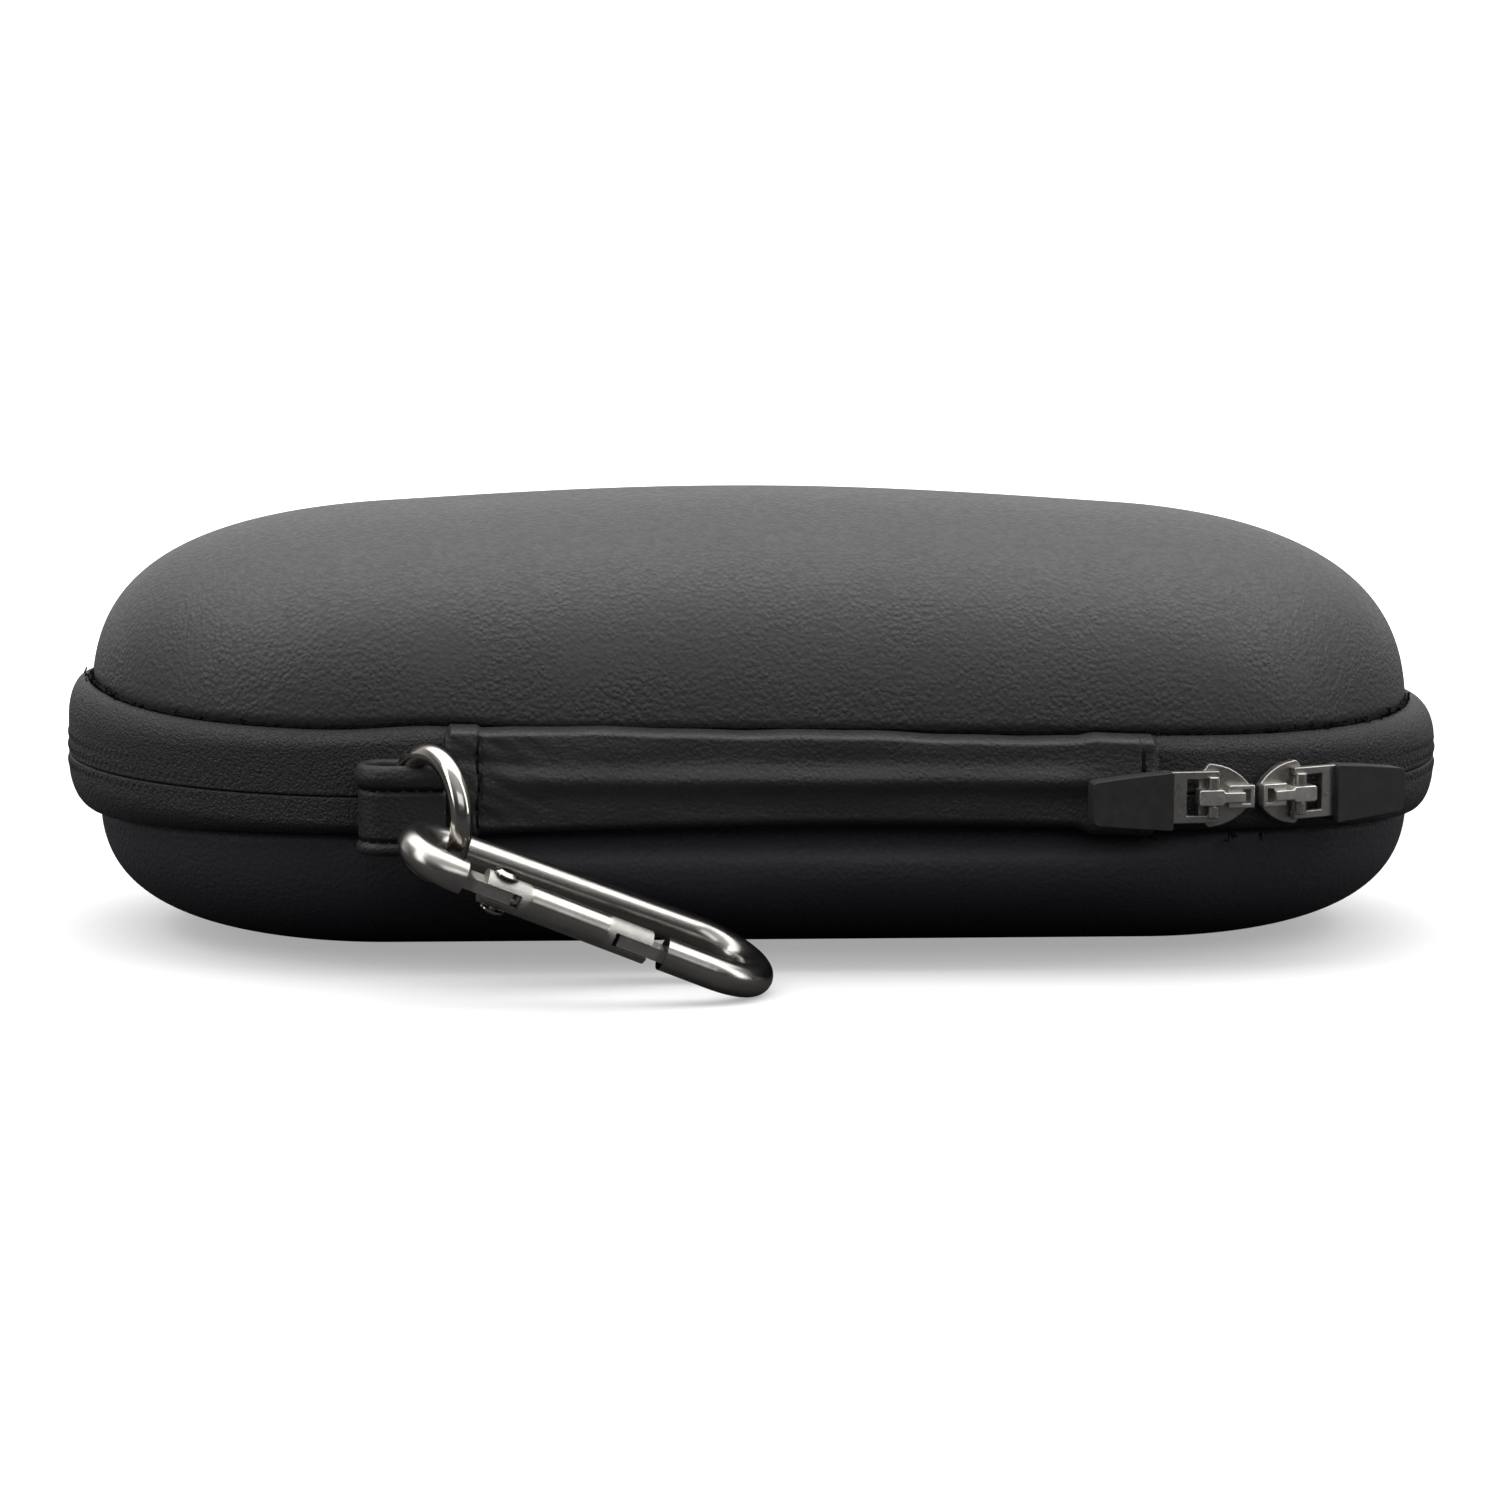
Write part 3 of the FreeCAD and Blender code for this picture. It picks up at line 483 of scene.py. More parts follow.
def shell_surface(shape, along, inset=0.0, tucked=False, rows=64):
    """A layer of the shell, rim first: points shaped (columns, rows, 3)."""
    radius, n, m = shell_radius(shape, along)
    turn = (np.linspace(0, 1, rows) ** 1.3 * math.pi / 2)[None, :]
    out = np.clip(np.cos(turn), 0, 1) ** (2 / n[:, None])
    up = np.sin(turn) ** (2 / m[:, None])
    r = (radius[:, None] - inset) * out
    foot, angle = plan(along)
    x = foot[:, None] + r * np.cos(angle)[:, None]
    if shape is LID:
        top = LID_TOP - inset - LID_CROWN * (1 - np.cos(math.pi * np.abs(x) / (HALF + BAND))) / 2
    else:
        top = inset + 0 * x
    z = shape["foot"] + (top - shape["foot"]) * up
    if tucked:
        lip = (upper_lip if shape is LID else lower_lip)(along)[:, None]
        above = np.clip(np.abs(z - SEAM) - lip + 0.1, 0, None)
        r = r - tuck(along)[:, None] * hill(above, 0, 0.6)
        if shape is BASE:
            under_hinge = np.clip(-np.sin(angle), 0, 1)[:, None] ** 2 * (1 - ease(np.abs(x), 38, 56))
            r = r + under_hinge * HINGE_SWELL * (1 - hill(above, 0, 2.2)) * ease(z, 0.0, 12.0)
    return place_rings(along, r, z)


def shell_layer(name, shape, inset, thickness, material, body, slot, node, flange=0.0):
    """One layer of a half shell: outside, inside, and the rim, which a flange may carry outward."""
    along = shell_columns()
    outside = shell_surface(shape, along, inset, tucked=inset == 0.0)
    inside = shell_surface(shape, along, inset + thickness)
    if flange:
        toward_seam = math.copysign(0.36, SEAM - shape["foot"])
        radius = (shell_radius(shape, along)[0] + flange)[:, None]
        edge = [place_rings(along, radius, np.full(radius.shape, shape["foot"] + shift))
                for shift in (0.04 * toward_seam, toward_seam)]
        corner = inside[:, :1] + np.array([0, 0, toward_seam])
        inside = np.concatenate([edge[0], edge[1], corner, inside], axis=1)
    points = np.concatenate([outside[:, ::-1], inside], axis=1)
    return piece(name, points, grid_faces(*points.shape[:2], True), material, body, slot, (node,))


def make_shells():
    """Leather, foam and lining of both halves."""
    for half, shape, body, skin in (("upper", LID, "lid", LID_LEATHER),
                                    ("lower", BASE, "base", BASE_LEATHER)):
        shell_layer(f"{half}_leather_skin", shape, 0.0, SKIN, skin, body, "case_leather", f"{half}_skin")
        core = shell_layer(f"{half}_foam_shell", shape, SKIN + 0.02, FOAM - 0.04, FOAM_BOARD, body,
                           "foam_core", f"{half}_shell")
        cloth = shell_layer(f"{half}_cloth_lining", shape, SKIN + FOAM, LINING, CLOTH, body, "soft_lining",
                            f"{half}_lining", flange=0.1)


# ---------------------------------------- zipper band

RIB_PITCH = 1.2                          # one rib and one turn of the coil
RIB_HEIGHT = 0.24
BULGE_X, BULGE_WIDTH = -42.0, 8.0        # the upper lip's bulge beside the left tab


def end_share(along):
    """0 along the straight sides, 1 at the two ends."""
    return np.cos(plan(along)[1]) ** 2


def lengthwise(along):
    """-1 at the left end, 1 at the right end."""
    return band_x(along) / (HALF + BAND)


def upper_lip(along):
    """Height of the upper lip above the seam: tallest at the left end, with a bulge beside the left tab."""
    side = lengthwise(along)
    bulge = np.where(on_hinge_side(along), hill(band_x(along), BULGE_X, BULGE_WIDTH), 0.0)
    return 7.1 - 0.7 * side + end_share(along) ** 3 * (1.0 - 0.5 * side) + 0.7 * bulge


def lower_lip(along):
    """How far the lower lip reaches below the seam: furthest at the two ends."""
    return 4.7 + 2.0 * end_share(along)


def tuck(along):
    """How far the skin is drawn in where it is sewn under the lip: least round the two ends."""
    return 0.9 - 0.65 * end_share(along)


def lip_inside(along, shape):
    """Radius of the lip's inner wall: a narrow ditch away from the tucked skin."""
    return shell_radius(shape, along)[0] - tuck(along) + 0.5


def rib_field(along, level):
    """Two rows of sewn ribs pressed through the tape beside the seam, plainest at the two ends."""
    rows = np.exp(-((level - 0.95) / 0.34) ** 4) + 0.8 * np.exp(-((level - 2.45) / 0.36) ** 4)
    teeth = (0.5 + 0.5 * np.cos(2 * math.pi * along / RIB_PITCH)) ** 1.5
    clear = 0.14 + 1.1 * end_share(along)
    return RIB_HEIGHT * clear * rows * (teeth - 0.5)


def tape_section(along, up):
    """The lip's outside from the seam edge round to the ditch, then its inside back to the seam."""
    ends = end_share(along)[:, None]
    if up > 0:
        lip, inner = upper_lip(along)[:, None], lip_inside(along, LID)[:, None]
        rise = 1.9 + 3.0 * ends
    else:
        lip, inner = lower_lip(along)[:, None], lip_inside(along, BASE)[:, None]
        rise = lip * (0.36 + 0.48 * ends)
    ones = np.ones((len(along), 1))
    h_edge = ones * np.array([0.03, 0.05, 0.11, 0.22])
    r_edge = BAND + ones * np.array([-0.8, -0.25, -0.08, -0.01])
    top_wall = lip - rise
    h_wall = 0.34 + (top_wall - 0.34) * np.linspace(0, 1, 34)
    r_wall = BAND + rib_field(along[:, None], h_wall)
    bend = np.linspace(0, 1, 14)[1:] * math.pi / 2
    reach = BAND - inner - 0.3
    h_bend = top_wall + rise * np.sin(bend)
    r_bend = BAND - reach + reach * np.cos(bend)
    back = BAND - 1.0 + 0 * lip
    h_in = [lip - 0.15, lip - 0.6, lip - 1.5, lip - 1.5, 0.3 + 0 * lip]
    r_in = [inner + 0.08, inner, inner + 0.05, back, back]
    h = np.concatenate([h_edge, h_wall, h_bend, *h_in], axis=1)
    r = np.concatenate([r_edge, r_wall, r_bend, *r_in], axis=1)
    return r, SEAM + up * h


def zip_run(pitch):
    """Distances along the band from the panel's right end round to its left end."""
    start, end = PANEL_HIGH.x - 1.0, PERIMETER + PANEL_LOW.x + 1.0
    return np.arange(start, end, pitch)


def make_tapes():
    """The two rolled lips of coated tape that meet at the seam."""
    for half, up, body in (("upper", 1, None), ("lower", -1, "base")):
        along = zip_run(RIB_PITCH / 5)
        r, z = tape_section(along, up)
        made = piece(f"{half}_tape_lip", place_rings(along, r, z), capped_faces(*r.shape), TAPE, body,
                     "zipper_tape", (f"{half}_zip_tape",))
        if up > 0:
            seam_blend(made)


def seam_blend(made):
    """Bakes the upper piece's placement into its mesh."""
    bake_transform(made)


def make_coils():
    """The nylon coils on the inside of the tapes, one helix turn for each rib."""
    for half, up, body in (("upper", 1, None), ("lower", -1, "base")):
        along = zip_run(RIB_PITCH / 10)
        turn = 2 * math.pi * along / RIB_PITCH
        r = BAND - 2.0 + 0.75 * np.cos(turn)
        h = 1.35 + 0.95 * np.sin(turn)
        points, faces = tube_points(place_line(along, r, SEAM + up * h), 0.22, 5)
        made = piece(f"{half}_coil_helix", points, faces, NYLON, body, "zipper_coil", (f"{half}_coil",))
        if up > 0:
            seam_blend(made)


def make_welts():
    """The turned edge inside each lip, where the skin is sewn to the band."""
    along = shell_columns()
    for half, shape, up, body in (("upper", LID, 1, "lid"), ("lower", BASE, -1, "base")):
        lip = (upper_lip if up > 0 else lower_lip)(along)[:, None]
        skin = shell_radius(shape, along)[0][:, None]
        outer = BAND - 1.05 + 0 * lip
        inner = lip_inside(along, shape)[:, None] + 0.1
        low = abs(shape["foot"] - SEAM) + 0 * lip
        top = lip - 1.9
        r = np.concatenate([outer, outer - 0.3, inner + 0.2, inner, skin + 0.1, outer], axis=1)
        h = np.concatenate([top - 0.3, top, top, top - 0.2, low, low], axis=1)
        points = place_rings(along, r, SEAM + up * h)
        piece(f"{half}_sewn_welt", points, grid_faces(len(along), 6, True, True), STRAP_LEATHER, body,
              "case_leather", (f"{half}_edge_welt",))


def strand(spot, ahead, size, draw, lift=1.0):
    """A short curved end of thread: its path from a spot, leaning along a direction."""
    across = Vector((draw.uniform(-0.5, 0.5), draw.uniform(-0.5, 0.5), draw.uniform(0.2, 1.0) * lift))
    lean = (ahead * draw.uniform(-1, 1) + across).normalized() * size
    bow = Vector((draw.uniform(-1, 1), draw.uniform(-1, 1), draw.uniform(-1, 1))) * size * 0.35
    return [spot, spot + lean * 0.35 + bow * 0.6, spot + lean * 0.7 + bow, spot + lean]


def ditch_level(along):
    """Height above the seam of the upper ditch: over the lip, and over the hinge panel with its tabs."""
    x = band_x(along)
    beside_panel = on_hinge_side(along) & (x > PANEL_LOW.x) & (x < PANEL_HIGH.x)
    return np.where(beside_panel, panel_edges(x)[1] - 0.05, upper_lip(along))


def make_ditch_thread_and_shade():
    """A dark cord along the bottom of the upper ditch: partly its sewing thread, partly painted shade that
    darkens the ditch.
    """
    along = np.arange(0.0, PERIMETER, 0.45)
    wobble = 0.06 * np.sin(along * 2.9) + 0.05 * np.sin(along * 1.13 + 2.0)
    level = SEAM + ditch_level(along) + 0.12 + wobble
    points, faces = tube_points(place_line(along, lip_inside(along, LID) - 0.22, level), 0.25, 6, True)
    # painted shade: the cord's dark line stands for the ditch's shadow as well as its thread
    piece("ditch_thread_and_shade", points, faces, DARK_THREAD, "lid", "case_leather")


def make_threads():
    """Thread ends along the ditch at both ends of the hinge side, and a few under the band at the right."""
    draw = random.Random(7)
    upper, lower = [], []
    spans = ((HALF - 4.0, HALF + ARC * 0.46, 120), (PERIMETER - HALF - 62, PERIMETER - 41, 70))
    places = [draw.uniform(low, high) for low, high, count in spans for _ in range(count)]
    for along in places:
        r = float(lip_inside([along], LID)[0]) + draw.uniform(-0.1, 0.15)
        z = SEAM + float(upper_lip([along])[0]) + draw.uniform(-0.35, 0.0)
        spot, ahead = place_spot(along, r, z)
        size = draw.uniform(0.5, 1.0) if draw.random() < 0.93 else draw.uniform(1.2, 1.7)
        upper.append(tube_points(strand(spot, ahead, size, draw), draw.uniform(0.09, 0.15), 5))
    for along in (43.6, 53.6, 54.2, 57.9):
        spot = place_spot(along, BAND - 0.5, SEAM - float(lower_lip([along])[0]) - 0.05)[0]
        for _ in range(2):
            path = strand(spot, Vector((1, 0, 0)), draw.uniform(0.7, 1.2), draw, -1.0)
            lower.append(tube_points(path, 0.12, 5))
    piece("upper_thread_ends", *join(upper), DARK_THREAD, "lid", "case_leather")
    piece("lower_thread_ends", *join(lower), DARK_THREAD, "base", "case_leather")


# ---------------------------------------- hinge panel

TAB_LEFT = PANEL_LOW.x + 3.8             # the left tab's stitched edge
TAB_RIGHT = PANEL_HIGH.x - 2.2           # the right tab's stitched edge
PATCH_RIGHT = PANEL_HIGH.x - 8.6         # the doubled leather beside the right tab
STITCH = 2.2                             # from one stitch of the tabs to the next


def left_line(level):
    """X of the left tab's sewn line, which wavers a little."""
    return TAB_LEFT + 0.1 * np.sin(level)


def right_line(level):
    """X of the right tab's sewn line, which bows."""
    return TAB_RIGHT + 0.4 * np.sin(level * 0.35 + 0.4)


def panel_edges(x):
    """Lower and upper edges of the hinge panel, from the seam: sloping, arched and bumped at the tabs."""
    share = np.clip((x - PANEL_LOW.x) / (PANEL_HIGH.x - PANEL_LOW.x), 0, 1)
    doubled = ease(x, PATCH_RIGHT - 1.5, PATCH_RIGHT + 1.5)
    tab = 1 - ease(x, TAB_LEFT - 0.2, TAB_LEFT + 0.5)
    high = 8.2 - 1.8 * share + 0.3 * np.sin(share * math.pi) + 0.5 * doubled + 0.4 * tab
    low = -5.0 + 0.4 * share + 1.0 * np.sin(share * math.pi) ** 0.8 - 0.8 * doubled - 0.3 * tab
    turned_in = ease(x, PANEL_LOW.x, PANEL_LOW.x + 0.7) * (1 - ease(x, PANEL_HIGH.x - 0.7, PANEL_HIGH.x))
    low = low + 0.7 * (1 - turned_in)
    high = high - 0.7 * (1 - turned_in) + 0.12 * np.sin(x * 0.21) + 0.05 * np.sin(x * 0.57 + 1)
    return low, high


def stitch_groove(x, level):
    """The two sewn lines: a groove pulled in at each tab, deepest where the needle went through."""
    needle = 0.7 + 0.3 * np.cos(level * 2 * math.pi / STITCH)
    return 0.55 * (hill(x, left_line(level), 0.28) + hill(x, right_line(level), 0.28)) * needle


def panel_face(x, level):
    """How far the panel's leather stands from the middle line: one soft lengthwise fold over thin padding."""
    middle = ease(x, -37, -28) * (1 - ease(x, 32, 40))
    fold = 0.95 * hill(level, 1.95 - 0.012 * x + 0.25 * np.sin(x / 14), 1.5) * (0.25 + 0.75 * middle)
    brow = 0.16 * hill(level, 5.6, 1.9) * middle
    tabs = 0.45 * (1 - ease(x, TAB_LEFT - 0.1, TAB_LEFT + 0.3))
    tabs = tabs + 0.35 * ease(x, PATCH_RIGHT - 1, PATCH_RIGHT + 1.5)
    puckers = 1 - ease(x, TAB_LEFT + 1, TAB_LEFT + 15)
    creases = 0.10 * np.sin(level * 2.1 + x * 0.9) * np.sin(x * 0.55 + 1.3 * np.sin(level * 0.8))
    waves = 0.05 * np.sin(x / 7.1 + level) + 0.03 * np.sin(x / 3.3 - 0.9 * level)
    ends = 0.45 * (1 - ease(x, PANEL_LOW.x, PANEL_LOW.x + 0.8) + ease(x, PANEL_HIGH.x - 0.8, PANEL_HIGH.x))
    sag = 0.03 * np.clip(-level, 0, None) ** 1.4
    face = BAND + 0.75 + fold + brow + tabs - ends
    return face + creases * puckers + waves - sag - stitch_groove(x, level)


def panel_section(x):
    """Closed sections of the panel at each x: rolled over at the top and bottom into the ditches."""
    low, high = (edge[:, None] for edge in panel_edges(x))
    grid_x = x[:, None]
    top_roll, low_roll = 0.95, 1.3
    up = np.linspace(math.pi / 2, 0, 12)[None, :]
    level = (high - top_roll) + (low + low_roll - high + top_roll) * np.linspace(0, 1, 46)[None, 1:-1]
    face = panel_face(grid_x, level)
    crown, foot_face = panel_face(grid_x, high - top_roll), panel_face(grid_x, low + low_roll)
    top_in, low_in = LID["back"] + 0.1, BASE["back"] + 0.3
    h = [high - 1.6, high - 0.6, high - 0.15, high - top_roll + top_roll * np.sin(up), level,
         low + low_roll - low_roll * np.sin(up[:, ::-1]), low + 0.2, low + 1.2, low + 1.2, high - 1.6]
    q = [top_in + 0.1, top_in - 0.1, top_in, top_in + 0.25 + (crown - top_in - 0.25) * np.cos(up), face,
         low_in + 0.3 + (foot_face - low_in - 0.3) * np.cos(up[:, ::-1]), low_in, low_in,
         BAND - 0.5, BAND - 0.5]
    ones = np.ones((len(x), 1))
    return [np.concatenate([ones * part for part in parts], axis=1) for parts in (h, q)]


def make_hinge_panel():
    """The panel and its two stitched ends, as one face split at the sewn lines."""
    spans = {"panel_end_tab_left": (PANEL_LOW.x, TAB_LEFT, 40, ("zip_end_tab_left",)),
             "hinge_panel_leather": (TAB_LEFT, TAB_RIGHT, 420, ("hinge_panel",)),
             "panel_end_tab_right": (TAB_RIGHT, PANEL_HIGH.x, 30, ("zip_end_tab_right",))}
    for name, (low, high, count, nodes) in spans.items():
        x = np.linspace(low, high, count)
        h, q = panel_section(x)
        points = np.stack([np.tile(x[:, None], (1, h.shape[1])), -q, SEAM + h], axis=2)
        made = piece(name, points, capped_faces(*h.shape), PANEL_LEATHER, None, "case_leather", nodes)
        hinge_blend(made)
    make_stitches()
    make_hinge_lining()


def hinge_blend(made):
    """Bakes the piece's placement into its mesh."""
    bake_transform(made)


def make_stitches():
    """Dark thread in the two sewn lines of the tabs."""
    parts = []
    for line, low, high in ((left_line, -3.6, 5.6), (right_line, -3.9, 4.4)):
        for start in np.arange(low, high, STITCH):
            levels = np.linspace(start, start + 1.5, 7)
            x = line(levels)
            sink = 0.22 * np.abs(np.linspace(-1, 1, 7)) ** 3
            q = panel_face(x, levels) + 0.2 - sink
            path = np.stack([x, -q, SEAM + levels], axis=1)
            parts.append(tube_points(path, 0.15, 8))
    made = piece("tab_stitches", *join(parts), DARK_THREAD, None, "case_leather")
    hinge_blend(made)


def make_hinge_lining():
    """The cloth strip that closes the inside behind the panel, a little rippled."""
    lining_low, lining_high = box_mm("hinge_lining")
    columns, rows = 120, 24
    x = np.linspace(lining_low.x, lining_high.x, columns)
    z = np.linspace(lining_low.z, lining_high.z, rows)
    grid_x, grid_z = np.meshgrid(x, z, indexing="ij")
    y = lining_low.y + 0.25 + 0.14 * np.sin(grid_x / 4.0) * np.sin(math.pi * np.linspace(0, 1, rows))
    face = np.stack([grid_x, y, grid_z], axis=2)
    back = face.copy()
    back[..., 1] += 0.6
    loop = np.concatenate([face, back[:, ::-1]], axis=1)
    faces = capped_faces(columns, rows * 2)
    made = piece("hinge_lining_cloth", loop, faces, CLOTH, None, "soft_lining", ("hinge_lining",))
    hinge_blend(made)


# ---------------------------------------- strap loop

STRAP_LOW, STRAP_HIGH = box_mm("strap_loop")
STRAP_LOW.x -= 0.6                       # the soft strip is fuller than its solid
STRAP_LOW.z -= 1.1
STRAP_HIGH.z += 0.8
STRAP_END = STRAP_HIGH.x + 1.1           # its two ends, which stop just beside the left tab
STRAP_WALL = 1.1
TOP_SEWN, LOW_SEWN = 2.9, 1.7            # the sewn lines, from the top and the bottom edge


def strap_outline():
    """The folded strip from above, back to front, and its outward directions."""
    depth = STRAP_HIGH.y - STRAP_LOW.y
    middle_y = (STRAP_LOW.y + STRAP_HIGH.y) / 2
    fold_x = STRAP_LOW.x + depth / 2
    flat = STRAP_END - fold_x
    bends = np.linspace(math.pi / 2, 3 * math.pi / 2, 40)
    outline = [(STRAP_END - flat * t, STRAP_HIGH.y) for t in np.linspace(0, 1, 16, endpoint=False)]
    outline += [(fold_x + depth / 2 * math.cos(a), middle_y + depth / 2 * math.sin(a)) for a in bends]
    outline += [(fold_x + flat * t, STRAP_LOW.y) for t in np.linspace(0, 1, 17)[1:]]
    outline = np.array(outline)
    ahead = np.gradient(outline, axis=0)
    normal = np.stack([ahead[:, 1], -ahead[:, 0]], axis=1)
    return outline, normal / np.linalg.norm(normal, axis=1)[:, None]


def make_strap():
    """A leather strip folded round the ring: rounded at the fold, rolled over at its top and bottom edges."""
    outline, normal = strap_outline()
    tall = STRAP_HIGH.z - STRAP_LOW.z
    from_low = np.linspace(0, 1, 60) * tall
    from_top = tall - from_low
    groove = 0.55 * hill(from_top, TOP_SEWN, 0.3) + 0.45 * hill(from_low, LOW_SEWN, 0.26)
    roll = 0.5 * hill(from_top, 1.5, 1.2) + 0.25 * hill(from_low, 0.8, 0.7)
    edge = 0.5 * (1 - np.sqrt(1 - (1 - np.clip(np.minimum(from_top, from_low) / 0.55, 0, 1)) ** 2))
    proud = roll - groove - edge
    z = STRAP_LOW.z + from_low
    outer, inner = [], []
    for (x, y), (nx, ny) in zip(outline, normal):
        outer.append([(x + nx * (p - 0.2), y + ny * (p - 0.2), h) for p, h in zip(proud, z)])
        inner.append([(x - nx * (STRAP_WALL - e), y - ny * (STRAP_WALL - e), h) for e, h in zip(edge, z)])
    loop = np.concatenate([np.array(outer), np.array(inner)[:, ::-1]], axis=1)
    faces = capped_faces(*loop.shape[:2])
    piece("strap_loop_leather", loop, faces, STRAP_LEATHER, "base", "case_leather", ("strap_loop",))
    make_strap_stitches(outline, normal)


def make_strap_stitches(outline, normal):
    """Dark thread sunk in the strip's two sewn lines, one short tube for each stitch."""
    run = np.concatenate([[0.0], np.cumsum(np.linalg.norm(np.diff(outline, axis=0), axis=1))])
    sunk = 0.46 + 0.25 * np.abs(np.linspace(-1, 1, 6)) ** 3
    dashes = []
    for level in (STRAP_HIGH.z - TOP_SEWN, STRAP_LOW.z + LOW_SEWN):
        for start in np.arange(0.4, run[-1] - 1.4, 1.6):
            spots = np.linspace(start, start + 1.35, 6)
            x, y = (np.interp(spots, run, outline[:, k]) - sunk * np.interp(spots, run, normal[:, k])
                    for k in (0, 1))
            path = np.stack([x, y, level + 0.05 * np.sin(spots * 2.3)], axis=1)
            dashes.append(tube_points(path, 0.15, 6))
    piece("strap_stitches", *join(dashes), DARK_THREAD, "base", "case_leather")


# ---------------------------------------- sliders and pulls

LEAN = math.radians(3.0)                 # the right pull leans in towards the curved band
PIN_DEPTH = 2.75                         # the pulls' pins, outward from the band
BACK_PLATE = -3.95                       # the plate behind the coils


def extruded(outline, low, high, bevel, hole=None):
    """A flat part: an outline in x and z between two depths, with an optional hole, its edges eased."""
    work = bmesh.new()
    rings = [outline] + ([hole] if hole else [])
    layers = [[[work.verts.new((x, y, z)) for x, z in ring] for y in (low, high)] for ring in rings]
    sides = [(i, (i + 1) % len(outline)) for i in range(len(outline))]
    for near, far in layers:
        for i, k in sides:
            work.faces.new((near[i], near[k], far[k], far[i]))
    for depth in (0, 1):
        outer = layers[0][depth]
        if hole:
            inner = layers[1][depth]
            for i, k in sides:
                work.faces.new((outer[i], outer[k], inner[k], inner[i]))
        else:
            work.faces.new(outer)
    bmesh.ops.recalc_face_normals(work, faces=work.faces)
    sharp = [e for e in work.edges if len(e.link_faces) == 2 and e.calc_face_angle(0.0) > math.radians(28)]
    bmesh.ops.bevel(work, geom=sharp, offset=bevel, segments=3, profile=0.5, affect="EDGES",
                    clamp_overlap=True)
    work.verts.index_update()
    points = [tuple(v.co) for v in work.verts]
    faces = [tuple(v.index for v in f.verts) for f in work.faces]
    work.free()
    return points, faces


def round_bar(x, depth, low, high, radius):
    """A pin standing along z, with its ends eased."""
    ends = (low, low + 0.12, high - 0.12, high)
    return tube_points([(x, depth, z) for z in ends], [radius - 0.12, radius, radius, radius - 0.12], 20)


def oblong(x_low, x_high, z_low, z_high):
    """A rectangular outline."""
    return [(x_low, z_low), (x_high, z_low), (x_high, z_high), (x_low, z_high)]


def mirrored(half):
    """A closed outline from its upper half, given from tail to nose."""
    return list(half) + [(x, -z) for x, z in reversed(half)]


def shield(scale=1.0):
    """The slider plate: straight tail, a peak on each side, then a curve down to the square nose."""
    half = [(-1.5, 2.5), (-1.35, 2.8), (-1.1, 2.95), (-0.75, 3.1), (-0.35, 3.7), (0.0, 3.85), (0.45, 3.75),
            (1.3, 3.6), (2.3, 3.25), (3.2, 2.75), (4.0, 2.15), (4.5, 1.6), (4.85, 1.25), (5.03, 1.1)]
    return mirrored([(x * scale, z * scale) for x, z in half])


def slider_parts():
    """The pieces of one slider in its own frame: x to the nose, y outward, z up."""
    body = [extruded(shield(), 0.35, 1.45, 0.16), extruded(shield(0.92), BACK_PLATE - 1.1, BACK_PLATE, 0.14),
            extruded(oblong(0.6, 2.4, -0.28, 0.28), -4.0, 0.4, 0.05)]
    tongue = [(-1.9, -0.75), (-1.7, -0.95), (1.1, -0.95), (1.3, -0.6), (3.8, -0.6), (3.8, 0.6),
              (1.3, 0.6), (1.1, 0.95), (-1.7, 0.95), (-1.9, 0.75)]
    crown = [extruded(oblong(1.9, 5.12, -1.35, 1.35), 1.4, 2.75, 0.12, oblong(3.7, 4.6, -0.85, 0.85)),
             extruded(tongue, 1.4, 3.5, 0.2)]
    frame_outline = [(0.75, 3.1), (-6.0, 3.1), (-6.0, -3.1), (0.75, -3.1), (0.75, -2.2), (-3.2, -2.2),
                     (-3.2, 2.2), (0.75, 2.2)]
    pull = [extruded(frame_outline, 1.65, 2.65, 0.13),
            round_bar(0.0, PIN_DEPTH, 0.95, 2.5, 0.72), round_bar(0.0, PIN_DEPTH, -2.5, -0.95, 0.72)]
    return {"slider_body": body, "slider_crown": crown, "pull_frame": pull, "pull_grip": [grip_part()]}


def grip_part():
    """The moulded grip: a slim wedge with an eased rim, its tip cut square and a little askew."""
    outline = [(-3.3, 3.35), (-3.5, 3.5), (-8.0, 3.1), (-12.6, 2.55), (-13.1, 2.35), (-13.25, 1.6),
               (-13.15, -1.9), (-13.0, -2.5), (-12.5, -2.75), (-8.0, -3.15), (-3.5, -3.5), (-3.3, -3.35)]
    outline = [(x - 1.7, z - 0.35) for x, z in outline]
    return extruded(outline, 0.85, 3.45, 0.38)


